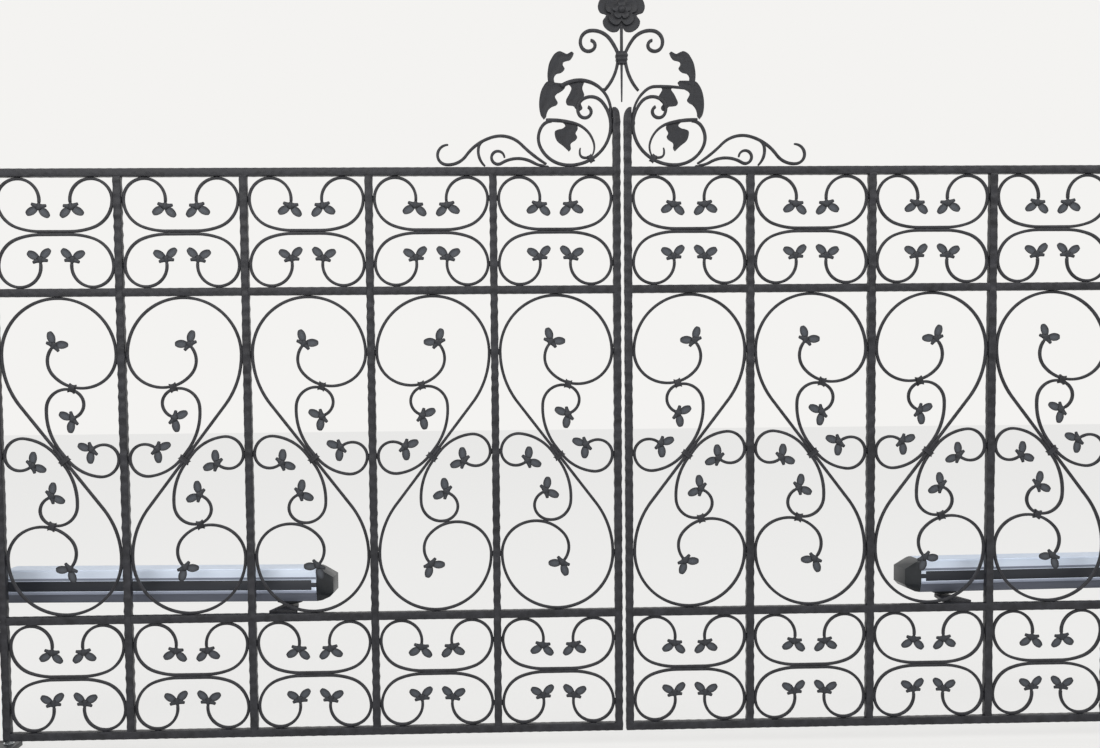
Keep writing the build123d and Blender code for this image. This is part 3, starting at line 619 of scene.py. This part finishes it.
def frame_bars(side, name, body):
    """Stiles, uprights and rails of one leaf, each a hammered bar that runs on into the bars that it meets."""
    seed = 1.0 if side > 0 else 4.3

    def make(node, shells):
        """One hammered piece in place of a CAD node of this leaf."""
        make_piece(f"{name}_{node}_hammered", shells, body, [f"{name}_{node}"], *FORGED, side)

    make("hinge_stile", [hammered_bar((HINGE_STILE_X, GROUND_GAP), RAIL_TOP - GROUND_GAP, True, UPRIGHT_BLOWS, seed)])
    # The meeting stile's top is rounded off on the side of the gap, as a quarter of an ellipse
    stile = hammered_bar((MEETING_STILE_X, GROUND_GAP), STILE_TOP - GROUND_GAP, True, MEETING_BLOWS, seed + 0.7)
    outer, high = MEETING_STILE_X - BAR / 2, STILE_TOP - STILE_NOSE
    narrow = np.sqrt(np.clip(1 - (np.clip(stile[..., 2] - high, 0, None) / (STILE_NOSE + 2.5)) ** 2, 0, 1))
    stile[..., 0] = outer + (stile[..., 0] - outer) * narrow
    make("meeting_stile", [stile])
    make("uprights", [
        hammered_bar((HINGE_STILE_X + k * BAY_PITCH, GROUND_GAP + BAR - INTO),
                     TOP_RAIL_Z - BAR / 2 - GROUND_GAP - BAR + 2 * INTO, True, UPRIGHT_BLOWS, seed + 1.9 * k)
        for k in range(1, BAYS)
    ])
    start, length = HINGE_STILE_X + BAR / 2 - INTO, STILE_FACE - HINGE_STILE_X - BAR / 2 + 2 * INTO
    make("top_rail", [hammered_bar((start, TOP_RAIL_Z), length, False, RAIL_BLOWS, seed + 2.2)])
    make("bottom_rail", [hammered_bar((start, BOTTOM_RAIL_Z), length, False, RAIL_BLOWS, seed + 5.1)])
    for node, z in (("upper_mid_rail", UPPER_MID_Z), ("lower_mid_rail", LOWER_MID_Z)):
        make(node, [
            hammered_bar((start + k * BAY_PITCH, z), BAY_CLEAR + 2 * INTO, False, RAIL_BLOWS, seed + z + k)
            for k in range(BAYS)
        ])


# Panels and bands


def panel():
    """Paths, leaf states, collars and welds of one centre panel about its middle."""
    big = BAY_CLEAR / 2 - SEAT
    circle_z = PANEL_HEIGHT / 2 - BAY_CLEAR / 2
    lean = S_SHOULDER - big
    run = math.sqrt(circle_z ** 2 + lean ** 2 - S_SHOULDER ** 2)
    heading = math.degrees(math.atan2(circle_z, -lean) - math.asin(S_SHOULDER / math.hypot(circle_z, lean)))
    middle = (0.0, 0.0, heading)
    s_half = path_along(middle, [(run, 0), (S_SHOULDER, 90 - heading), (big, 180)] + S_CURL)
    touch = follow((-big, circle_z, -90), S_CURL[:2])
    start = (*beside(middle, ROD + WELD_GAP), heading)
    top = (*beside(touch, -ROD - WELD_GAP), touch[2] + 180)
    above, below = (SIDE_BY_SIDE[0], 0), (SIDE_BY_SIDE[1], 0)
    up = path_along(start, [above] + biarc(step(start, *above), top) + UPPER_HOOK)
    back = turned(start)
    down = path_along(back, [below] + biarc(step(back, *below), (-big, -SIDE_TOUCH, 450)) + SIDE_HOOK)
    companion = joined(down, up)
    paths = [joined(half_turned(s_half), s_half), companion, half_turned(companion)]
    ends = [s_half[-1], half_turned(s_half[-1]), up[-1], down[-1], half_turned(up[-1]), half_turned(down[-1])]
    touch_middle = (*beside(touch, -(ROD + WELD_GAP) / 2), touch[2])
    collars = [placed(collar(2), touch_middle), placed(collar(3, 7.5, 2.8), step(middle, -COLLAR_SLIP, 0))]
    foot = half_turned(np.array(touch_middle))
    edge = BAY_CLEAR / 2
    seats = ((-edge, circle_z), (edge, circle_z), (-edge, -circle_z), (edge, -circle_z), (-edge, -SIDE_TOUCH),
             (edge, SIDE_TOUCH))
    welds = [weld(x, z, heading=90.0) for x, z in seats]
    welds += [weld(0.0, PANEL_HEIGHT / 2), weld(0.0, -PANEL_HEIGHT / 2)]
    for off in (-(ROD + WELD_GAP) / 2, (ROD + WELD_GAP) / 2):
        x, z = beside(step(middle, 12.0, 0), off)
        welds.append(weld(x, z, 17.0, 2.8, heading))
    return paths, ends, collars, placed(collar(2), foot), weld(foot[0], foot[1], 8.0, 3.0, foot[2]), welds


def band_scroll():
    """Path of one flat C-scroll with its back at z = 0, and its two end states.

    The back is straight at its middle and bends slowly before each corner. The two radii solve the pair of equations
    that bring the corner to the lobe's start: wide * sin e + tight * (1 - sin e) = run and
    wide * (1 - cos e) + tight * cos e = rise.
    """
    rise = BAND_HEIGHT / 2 - 2 * SEAT - BAND_LOBE_RADIUS
    run = BAY_CLEAR / 2 - SEAT - BAND_BACK
    c, s = math.cos(math.radians(BAND_EASE)), math.sin(math.radians(BAND_EASE))
    wide, tight = np.linalg.solve([[s, 1 - s], [1 - c, c]], [run, rise])
    half = path_along((0.0, SEAT, 0.0), [(BAND_BACK, 0), (wide, BAND_EASE), (tight, 90 - BAND_EASE),
                                         (BAND_LOBE_RADIUS, BAND_LOBE_TURN)])
    return joined(turned_over(half), half), [half[-1], turned_over(half[-1])]


def leaf_pairs(ends):
    """A pair of leaves on each bar end."""
    return [placed(shell, end) for end in ends for shell in LEAF_PAIR]


def scroll_work(side, name, body):
    """Centre panels and both bands of one leaf: bars, pressed leaves, collars and welds."""
    paths, ends, collars, foot_collar, foot_weld, welds = panel()
    rods, leaves, wraps, beads = [rod(p) for p in paths], leaf_pairs(ends), [], []
    panel_rods, panel_leaves = [], []
    z = (UPPER_MID_Z + LOWER_MID_Z) / 2
    for bay in range(BAYS):
        x, over = HINGE_STILE_X + (bay + 0.5) * BAY_PITCH, (BAYS - bay) % 2 == 1
        plain = side > 0 and bay >= BAYS - PLAIN_TOUCH_BAYS
        for group, shells in ((panel_rods, rods), (panel_leaves, leaves),
                              (wraps, collars + ([] if plain else [foot_collar])),
                              (beads, welds + ([foot_weld] if plain else []))):
            group += [shell * (-1 if over else 1, 1, 1) + (x, 0, z) for shell in shells]
    node = f"{name}_centre_panels"
    make_piece(f"{name}_panel_scrolls", panel_rods, body, [node], *FORGED, side)
    # Pressed leaves, with a painted highlight in their dishes
    make_piece(f"{name}_panel_leaves", panel_leaves, body, [node], *PRESSED, side,
               hollow=LEAF_PAINTED_HIGHLIGHT)
    make_piece(f"{name}_collars", wraps, body, [node], *FORGED, side)

    path, ends = band_scroll()
    edge, top = BAY_CLEAR / 2, BAND_HEIGHT / 2
    corner = top - 2 * SEAT - BAND_LOBE_RADIUS
    for node, z in (("upper_band", (TOP_RAIL_Z + UPPER_MID_Z) / 2),
                    ("lower_band", (LOWER_MID_Z + BOTTOM_RAIL_Z) / 2)):
        rods, leaves = [], []
        for bay in range(BAYS):
            x = HINGE_STILE_X + (bay + 0.5) * BAY_PITCH
            for flip in (1, -1):
                rods.append(rod(path) * (1, 1, flip) + (x, 0, z))
                leaves += [shell * (1, 1, flip) + (x, 0, z) for shell in leaf_pairs(ends)]
                for turn in (1, -1):
                    beads.append(weld(x + turn * edge, z + flip * (SEAT + corner), heading=90.0))
                    beads.append(weld(x + turn * (edge - SEAT - BAND_LOBE_RADIUS), z + flip * top))
            beads += [weld(x + back, z, 8.0, 3.0) for back in (-BAND_WELD, BAND_WELD)]
        make_piece(f"{name}_{node}_scrolls", rods, body, [f"{name}_{node}"], *FORGED, side)
        # Pressed leaves, with a painted highlight in their dishes
        make_piece(f"{name}_{node}_leaves", leaves, body, [f"{name}_{node}"], *PRESSED, side,
                   hollow=LEAF_PAINTED_HIGHLIGHT)
    make_piece(f"{name}_welds", beads, body, [], *FORGED, side)


# Crown and finial

# Edges of the sheet leaves from foot to tip, from the stile's outer face and the top rail's middle
ACANTHUS_DOWN = (
    [(-150, 269), (-173, 271), (-198, 275), (-208.5, 267), (-218.5, 250), (-224, 231), (-226.5, 209), (-225.5, 188),
     (-221, 170), (-212, 158)],
    [(-143, 263), (-148, 252), (-160, 242), (-171, 236), (-177, 228), (-172, 217), (-168.5, 209), (-174, 201),
     (-187, 196), (-197, 188), (-203, 176), (-205, 166), (-212, 158)],
)
RIGHT_ACANTHUS_DOWN = (
    [(-150, 277), (-173, 277)] + ACANTHUS_DOWN[0][2:],
    [(-143, 270), (-150, 259), (-165, 249), (-176, 243), (-181, 235), (-176, 224), (-172.5, 216), (-178, 208),
     (-190, 201), (-199, 190), (-203.5, 177), (-205, 166), (-212, 158)],
)
ACANTHUS_UP = (
    [(-197, 262), (-199.5, 282), (-200, 296), (-198.5, 311), (-194.5, 330), (-186, 347), (-177, 359.5), (-163, 367),
     (-150, 363), (-140, 358.5), (-132, 362), (-124, 366), (-118, 360)],
    [(-177, 266), (-180, 284), (-172.5, 296), (-159.5, 299.5), (-150.5, 306), (-146.5, 314), (-152, 324),
     (-150.5, 332), (-142, 335.5), (-130, 339), (-121.5, 350), (-118, 360)],
)
LEFT_DRAPE = (
    [(-143, 272), (-127, 256), (-131, 240), (-143, 217), (-139, 202), (-121, 199), (-113, 190), (-102, 183)],
    [(-84, 276), (-92, 254), (-86, 232), (-96, 222), (-97, 207), (-92, 192), (-102, 183)],
)
RIGHT_DRAPE = (
    [(-131, 256), (-124, 250), (-133.5, 235), (-141, 220), (-145, 208.5), (-140, 200), (-129, 197.5), (-117.5, 197),
     (-111.5, 191), (-103, 184)],
    [(-88, 258), (-94.5, 252), (-94.5, 246), (-86, 232), (-83, 226), (-89, 213.5), (-97.5, 205), (-92.5, 197),
     (-92, 190), (-97, 184), (-103, 184)],
)
HANGING = (
    [(-158, 152), (-146, 140), (-155, 131), (-168, 128), (-179, 120), (-173, 94), (-152, 76), (-135, 60)],
    [(-110, 146), (-107, 130), (-114, 116), (-109, 105), (-114, 95), (-129, 84), (-129, 68), (-135, 60)],
)


def lifted(edges):
    """Edges drawn from the stile and the top rail, in the leaf's millimetres."""
    return [[(STILE_FACE + x, TOP_RAIL_Z + z) for x, z in edge] for edge in edges]


def from_stile(path):
    """A path drawn from the stile's outer face, put at the stile."""
    return path + (STILE_FACE, 0, 0)


def resting(path):
    """A path lowered or lifted until its bar lies on the top rail."""
    low = (path[:, 1] - ROD / 2 * np.abs(np.cos(np.radians(path[:, 2])))).min()
    return path + (0, RAIL_TOP + WELD_GAP - low, 0)


def crown(side, name, body):
    """Scrolls, arch, branch, waves and sheet leaves that stand on one leaf's top rail."""
    arch = LEFT_ARCH if side > 0 else RIGHT_ARCH
    start = (-SEAT, RAIL_TOP + BIG_C_HEIGHT, 90.0)
    low = follow(turned(start), BIG_C_LOWER[:2])
    fork, wrap = (*beside(low, -ROD / 2), BRANCH_HEADING), beside(low, -2.0)
    hook = (HOOK_START[0], RAIL_TOP + HOOK_START[1], HOOK_START[2])
    big_c = joined(path_along(turned(start), BIG_C_LOWER, 5.0), path_along(start, BIG_C_UPPER, 5.0))
    arch_path = path_along((-SEAT, RAIL_TOP + arch[0], arch[1]), arch[2], 5.0)
    shells = [
        rod(from_stile(big_c), 10.0),
        rod(from_stile(arch_path), 10.0, ends=(0.8, 1.4) if side > 0 else (0.65, 0.75), taper=130.0),
        rod(from_stile(path_along(fork, BRANCH, 5.0)), 10.0, ends=(0.45, 1.15), taper=200.0),
        rod(from_stile(path_along(hook, HOOK, 4.0)), 8.0, ends=(1.0, 0.6), taper=35.0),
        placed(collar(2, 7.5, 1.5), (STILE_FACE + wrap[0], wrap[1], low[2])),
        weld(STILE_FACE - 5.0, RAIL_TOP + arch[0] - 18.0, 30.0, 6.5, 90.0, 5.0),
        weld(STILE_FACE - 2.0, RAIL_TOP + BIG_C_HEIGHT, 30.0, 5.0, 90.0, 5.0),
    ]
    make_piece(f"{name}_crown_scrolls", shells, body, [f"{name}_crown_bars"], *FORGED, side)
    make_piece(f"{name}_crown_sheet_leaves", [
        sheet_leaf(*lifted(ACANTHUS_DOWN if side > 0 else RIGHT_ACANTHUS_DOWN), rows=44),
        sheet_leaf(*lifted(ACANTHUS_UP), rows=44),
        sheet_leaf(*lifted(LEFT_DRAPE if side > 0 else RIGHT_DRAPE)),
        sheet_leaf(*lifted(HANGING)),
    ], body, [f"{name}_crown_leaves"], *PRESSED, side)
    long_wave = path_along(WAVE_START, WAVE_LONG, 5.0)
    bud = path_along(follow(WAVE_START, WAVE_LONG[:3]), WAVE_BUD, 4.0)
    both = resting(np.concatenate([long_wave, bud]))
    long_wave, bud = both[:len(long_wave)], both[len(long_wave):]
    short_wave = resting(path_along(WAVE_SHORT_START, WAVE_SHORT, 4.0))
    make_piece(f"{name}_crown_waves", [
        rod(from_stile(long_wave), ends=(0.8, 0.6)),
        rod(from_stile(bud), ends=(1.0, 0.6), taper=30.0),
        rod(from_stile(short_wave), ends=(0.8, 0.6)),
        weld(STILE_FACE + WAVE_START[0], RAIL_TOP + 2.0, 9.0, 4.0),
    ], body, [f"{name}_crown_wave"], *FORGED, side)


def petal(size, front, back, cup, angle):
    """A cupped petal pointing along an angle from the flower's middle.

    Along it, t goes from -1 to 1 and r = size * (circle + radius * t). The half width is size * 1.07 * radius *
    (1 - |t|^2.4)^(1/2.4) * (1 - 0.035 * cos 7t), which gives the rim faint scallops. Depth goes from back to front,
    the rim standing forward by cup.
    """
    t = -np.cos(np.linspace(0, math.pi, 13))[:, None]
    a = np.linspace(0, 2 * math.pi, 22, endpoint=False)[None, :]
    width = 1.07 * PETAL_RADIUS * size * np.clip(1 - np.abs(t) ** 2.4, 0, 1) ** (1 / 2.4)
    width = width * (1 - 0.035 * np.cos(7 * t))
    width[[0, -1]] = 0
    r = size * (PETAL_CIRCLE + PETAL_RADIUS * t) + 0 * a
    rim = np.clip(t ** 2 + np.cos(a) ** 2 * (1 - t ** 2), 0, 1)
    middle, half = (front + back) / 2 + cup * (0.5 - rim), abs(back - front) / 2
    depth = middle - half * np.sin(a) * np.sqrt(np.clip(1 - t ** 4, 0, 1))
    across, up = rotated(r, width * np.cos(a), angle)
    return np.stack([across, depth, ROSETTE_Z + up], -1)


def knot():
    """The wrapped block under the finial's scrolls.

    From its foot to its top the half width runs through a neck band, a waist and a block whose upper and lower
    corners stand out as horns; the depth is 0.72 of it. Sections are round-cornered squares; both ends close on their
    middle.
    """
    height = np.array([-16, -16, -15.2, -13, -10.5, -8.5, -6, -3.5, 0, 3, 6.5, 9.5, 13, 17, 20.5, 22.5, 22.5])
    half = np.array([0, 11.5, 13.2, 13.8, 13.2, 14, 17, 18.4, 17.6, 17.4, 18.6, 19.4, 18.8, 16.5, 15, 12.5, 0])
    profile = square_profile(0.4, 4)
    across, depth = half[:, None] * profile[:, 0], 0.72 * half[:, None] * profile[:, 1]
    return np.stack([across, depth, np.broadcast_to(BOSS_Z + height[:, None], across.shape)], -1)


def finial(body):
    """Rosette, stem, scrolls, tails and spear on one collared boss over the gap, carried by the left leaf."""
    flower = []
    for size, front, back, cup in ((1.0, -1.5, 3.0, 3.0), (0.68, -7.0, -4.0, 3.5), (0.4, -11.5, -8.5, 4.0)):
        flower += [petal(size, front, back, cup, 90 + 72 * k) for k in range(5)]
    button = [(0, -18.5), (5, -18.0), (9.5, -15.5), (12, -12), (12.5, -6), (13, 0), (14, 4), (14, 7), (0, 7)]
    flower.append(lathe(button, (0, 0, ROSETTE_Z), axis="y"))
    make_piece("finial_flower", flower, body, ["finial_rosette"], *PRESSED)

    arch = (STILE_FACE - SEAT, RAIL_TOP + LEFT_ARCH[0], LEFT_ARCH[1])
    foot = follow(arch, LEFT_ARCH[2][:1])
    other = step((STILE_FACE - SEAT, RAIL_TOP + RIGHT_ARCH[0], RIGHT_ARCH[1]), RIGHT_ARCH[2][0][0], 32.0)
    tail = (-12.0, BOSS_Z - 8.0, -97.0)
    scroll = path_along((-6.0, BOSS_Z + 3.0, 108.0), FINIAL_C, 4.0)
    free_x, free_z = beside(other, -ROD / 2 - 9.0)
    shells = [
        rod(scroll, 10.5, ends=(1.0, 0.9)),
        rod(turned_over(scroll), 10.5, ends=(1.0, 0.9)),
        rod(path_along(tail, [arc_to(tail, beside(foot, -ROD / 2 - 0.5))], 5.0), 10.0),
        rod(turned_over(path_along(tail, [arc_to(tail, (free_x - 5.0, free_z + 7.0))], 5.0)), 10.0, ends=(1.0, 0.8)),
        rod(path_along((0, BOSS_Z, -90.0), [(SPEAR_LENGTH, 0)], 5.0), 8.0, ends=(1.0, 0.5), taper=125.0),
        rod(path_along((0, BOSS_Z, 90.0), [(ROSETTE_RISE - PETAL_CIRCLE, 0)], 5.0)),
        weld(foot[0] + 2.0, foot[1] + 4.0, 7.0, 5.0, foot[2]),
        knot(),
    ]
    make_piece("finial_scrolls", shells, body, ["finial_bars"], *FORGED)


# Posts, hinges and operators


def hexagon_nut(place, radius, height, axis, stud):
    """Hexagonal nut or bolt head on a washer, its corners chamfered, and its stud's (top, radius) if it has one."""
    high = 2 + height
    shells = [
        lathe([(0, 0), (1.25 * radius, 0), (1.25 * radius, 1.6), (1.2 * radius, 2), (0, 2)], place, 24, axis),
        lathe([(0, 2), (radius, 2), (radius, 1 + height), (radius * 0.9, high), (0, high)], place, 6, axis),
    ]
    if stud:
        top, r = stud
        shells.append(lathe([(0, high), (r, high), (r, top - 1.5), (r * 0.8, top), (0, top)], place, 16, axis))
    return shells


def zinc_bolts(name, places, *settings):
    """Like bolts on both posts, at places measured from the left post's middle."""
    shells = [shell * (side, 1, 1) for side in (1, -1) for x, y, z in places
              for shell in hexagon_nut((x - GAP_X, y, z), *settings)]
    make_piece(name, shells, "posts", [], zinc, "painted_steel", smooth=False)


def posts():
    """Posts with rounded corners, caps, base plates, hinge barrels and the operators' shelves, and their bolts."""
    for node, width in (("left_post", 5.0), ("right_post", 5.0), ("post_feet", 1.5), ("post_caps", 2.5),
                        ("operator_post_brackets", 1.5)):
        softened(node, "posts", post_paint, "painted_steel", width)
    softened("hinge_pins", "posts", *FORGED, 1.5)
    anchors = [(x, y, FOOT_THICKNESS) for x in (-ANCHOR_REACH, ANCHOR_REACH) for y in (-ANCHOR_REACH, ANCHOR_REACH)]
    zinc_bolts("anchor_bolts", anchors, 13.5, 13.0, "z", (27.0, 8.0))
    across, up = SHELF_BOLTS
    heads = [(x, SHELF_FACE, OPERATOR_Z + z) for x in (-across, across) for z in (-up, up)]
    zinc_bolts("shelf_bolts", heads, 9.5, 7.0, "y", None)


def aimed(shell):
    """A shell drawn along +X from the operator's rear pivot, put in line with it, in the left leaf's frame."""
    x, y = rotated(shell[..., 0], shell[..., 1], OPERATOR_ANGLE)
    return np.stack([x + PIVOT[0] - GAP_X, y + PIVOT[1], shell[..., 2] + OPERATOR_Z], -1)


def carried(start, end, outline):
    """An outline (depth, height) carried along an operator between two distances from its rear pivot, ends closed."""
    y, z = np.array(outline, float).T
    x = np.array([start, start, end, end])[:, None] + 0 * y
    middle = np.array([0, 1, 1, 0])[:, None]
    return aimed(np.stack([x, y.mean() + (y - y.mean()) * middle, z.mean() + (z - z.mean()) * middle], -1))


def sharpen_corners(mesh, side):
    """Redraws the housing's upper corners, rounder in the CAD, at 2.5 mm: each point keeps its direction."""
    points = np.zeros(3 * len(mesh.vertices), np.float32)
    mesh.vertices.foreach_get("co", points)
    points = points.reshape(-1, 3).astype(float) * 1000
    left_x = points[:, 0] if side > 0 else 2 * GAP_X - points[:, 0]
    along, y = rotated(left_x - PIVOT[0], points[:, 1] - PIVOT[1], -OPERATOR_ANGLE)
    z = points[:, 2] - OPERATOR_Z
    cy, cz = -HOUSING_FRONT - CAD_CORNER, HOUSING_HALF - CAD_CORNER
    inside = (z > cz + 0.1) & (np.abs(y) > cy + 0.1)
    ry, rz = np.abs(y) - cy, z - cz
    reach = np.hypot(ry, rz) + 1e-9
    y = np.where(inside, np.sign(y) * (-HOUSING_FRONT - CORNER + CORNER * ry / reach), y)
    z = np.where(inside, HOUSING_HALF - CORNER + CORNER * rz / reach, z)
    flat = (z > cz - 0.1) & (z <= cz + 0.1) & (np.abs(y) > cy)
    z = np.where(flat, HOUSING_HALF - CORNER, z)
    top = (z > HOUSING_HALF - 0.1) & (np.abs(np.abs(y) - cy) < 0.2)
    y = np.where(top, np.sign(y) * (-HOUSING_FRONT - CORNER), y)
    x, y = rotated(along, y, OPERATOR_ANGLE)
    left_x, points[:, 1], points[:, 2] = x + PIVOT[0], y + PIVOT[1], z + OPERATOR_Z
    points[:, 0] = left_x if side > 0 else 2 * GAP_X - left_x
    mesh.vertices.foreach_set("co", (points / 1000).astype(np.float32).ravel())


def operator(side, name, leaf):
    """Housing, slot cover, end cap, rear block and carriage of one operator, with the leaf's bracket."""
    body = f"{name}_operator"
    housing = softened(f"{name}_operator_housing", body, aluminium, "operator_aluminium", 0.8)
    sharpen_corners(housing.data, side)
    # Faces below the taper's start take a darker copy of the aluminium: painted shade on the side that leans in under
    # the slot.
    housing.data.materials.append(shaded_aluminium)
    centres = np.zeros(3 * len(housing.data.polygons), np.float32)
    housing.data.polygons.foreach_get("center", centres)
    low = centres.reshape(-1, 3)[:, 2] < (OPERATOR_Z - TAPER_START - 1.0) / 1000
    housing.data.polygons.foreach_set("material_index", low.astype(np.int32))
    for node, material, slot, width in (("strip", slot_cover, "operator_black", 0.8),
                                        ("end_cap", black_plastic, "operator_black", 3.0),
                                        ("rear", cast_black, "operator_cast", 2.0)):
        softened(f"{name}_operator_{node}", body, material, slot, width)
    softened(f"{name}_operator_carriage", f"{name}_carriage", cast_black, "operator_cast", 1.0)
    softened(f"{name}_leaf_bracket", leaf, *FORGED, 1.5)
    lips, slopes = [], []
    for face, proud, start in ((1, 3.0, HOUSING_START + 1.0), (-1, 0.8, HOUSING_START + 22.0)):
        y, out = face * HOUSING_FRONT, face * (HOUSING_FRONT - proud)
        end = HOUSING_END - 1.0
        lips.append(carried(start, end, [(y + face, 50.8), (out, 49.0), (out, 26.5), (y + face, 26.5)]))
        above = [(y + face, 26.4), (out, 26.4), (out + face * 0.6, 24.0), (y + face, 16.3)]
        below = [(y + face, -16.3), (out, -21.0), (out, -25.0), (y + face, -27.0)]
        slopes += [carried(start, end, above), carried(start, end, below)]
    make_piece(f"{name}_housing_lips", lips, body, [], aluminium, "operator_aluminium", side, smooth=False)
    # The slopes round the slot take the darker aluminium: painted shade.
    make_piece(f"{name}_slot_lips", slopes, body, [], shaded_slope_aluminium, "operator_aluminium", side, smooth=False)
    softened(f"{name}_hinge_barrels", leaf, *FORGED, 1.5)


# Floor, light and camera


def looking(tree):
    """1 for rays that look at the background, straight from the camera or by a reflection or through glass."""
    path = add(tree, "ShaderNodeLightPath")
    direct = add(tree, "ShaderNodeMath", operation="MAXIMUM",
                 links={0: path.outputs["Is Camera Ray"], 1: path.outputs["Is Glossy Ray"]})
    return add(tree, "ShaderNodeMath", operation="MAXIMUM",
               links={0: direct.outputs[0], 1: path.outputs["Is Transmission Ray"]}).outputs[0]


def pale_stage():
    """Floor plane, pale and shadowed, with three quarters of it seen at the background's own brightness."""
    mesh = bpy.data.meshes.new("floor")
    mesh.from_pydata([(-14, -12, 0), (18, -12, 0), (18, 24, 0), (-14, 24, 0)], [], [(0, 1, 2, 3)])
    floor = new_object("floor", mesh)
    material, tree, shader = new_material("pale_floor", Roughness=0.9, Base_Color=linear("#e6e4e0"))
    share = add(tree, "ShaderNodeMath", operation="MULTIPLY", links={0: looking(tree)})
    share.inputs[1].default_value = 0.75
    glow = add(tree, "ShaderNodeEmission", Color=linear("#f4f3f1"), Strength=1.0)
    mixed = add(tree, "ShaderNodeMixShader",
                links={0: share.outputs[0], 1: shader.outputs["BSDF"], 2: glow.outputs[0]})
    tree.links.new(mixed.outputs[0], tree.nodes["Material Output"].inputs["Surface"])
    mesh.materials.append(material)


def pale_world():
    """World of strength 1 for whatever looks at it, softer where it lights the gate."""
    world = bpy.data.worlds.new("pale_sky")
    bpy.context.scene.world = world
    world.use_nodes = True
    tree = world.node_tree
    tree.nodes.clear()
    lit = add(tree, "ShaderNodeBackground", Color=linear("#e9eef5"), Strength=0.75)
    white = add(tree, "ShaderNodeBackground", Color=linear("#f4f3f1"), Strength=1.0)
    mixed = add(tree, "ShaderNodeMixShader", links={0: looking(tree), 1: lit.outputs[0], 2: white.outputs[0]})
    add(tree, "ShaderNodeOutputWorld", links={"Surface": mixed.outputs[0]})


def soft_lamp(name, place, target, size, power):
    """Square area lamp at a place, facing a target."""
    lamp = bpy.data.lights.new(name, "AREA")
    lamp.shape = "SQUARE"
    lamp.size = size
    lamp.energy = power
    holder = new_object(name, lamp)
    holder.location = place
    x, y, z = np.subtract(target, place)
    holder.rotation_euler = (math.atan2(math.hypot(x, y), -z), 0, math.atan2(y, x) - math.pi / 2)


def gate_camera():
    """Camera at the photograph's place: 3.4 m in front of the leaves, 1.15 m up, a little left of the gap."""
    camera = bpy.data.cameras.new("camera")
    camera.lens = 36.0
    camera.sensor_width = 36.0
    camera.shift_x = 0.028
    camera.shift_y = 0.0575
    holder = new_object("camera", camera)
    holder.location = (1.6190, -3.4436, 1.1520)
    holder.rotation_euler = np.radians((87.2223, 0.5219, -1.7502))
    bpy.context.scene.camera = holder


for side, name in ((1, "left"), (-1, "right")):
    leaf = f"{name}_leaf"
    frame_bars(side, name, leaf)
    scroll_work(side, name, leaf)
    crown(side, name, leaf)
    operator(side, name, leaf)
finial("left_leaf")
posts()

pale_stage()
pale_world()
soft_lamp("front_left", (-1.0, -7.0, 5.5), (2.05, 0, 1.1), 7.0, 380)
soft_lamp("high_right", (6.5, -5.0, 6.5), (2.05, 0, 1.1), 6.0, 260)
gate_camera()
bpy.context.scene.view_settings.view_transform = "Standard"
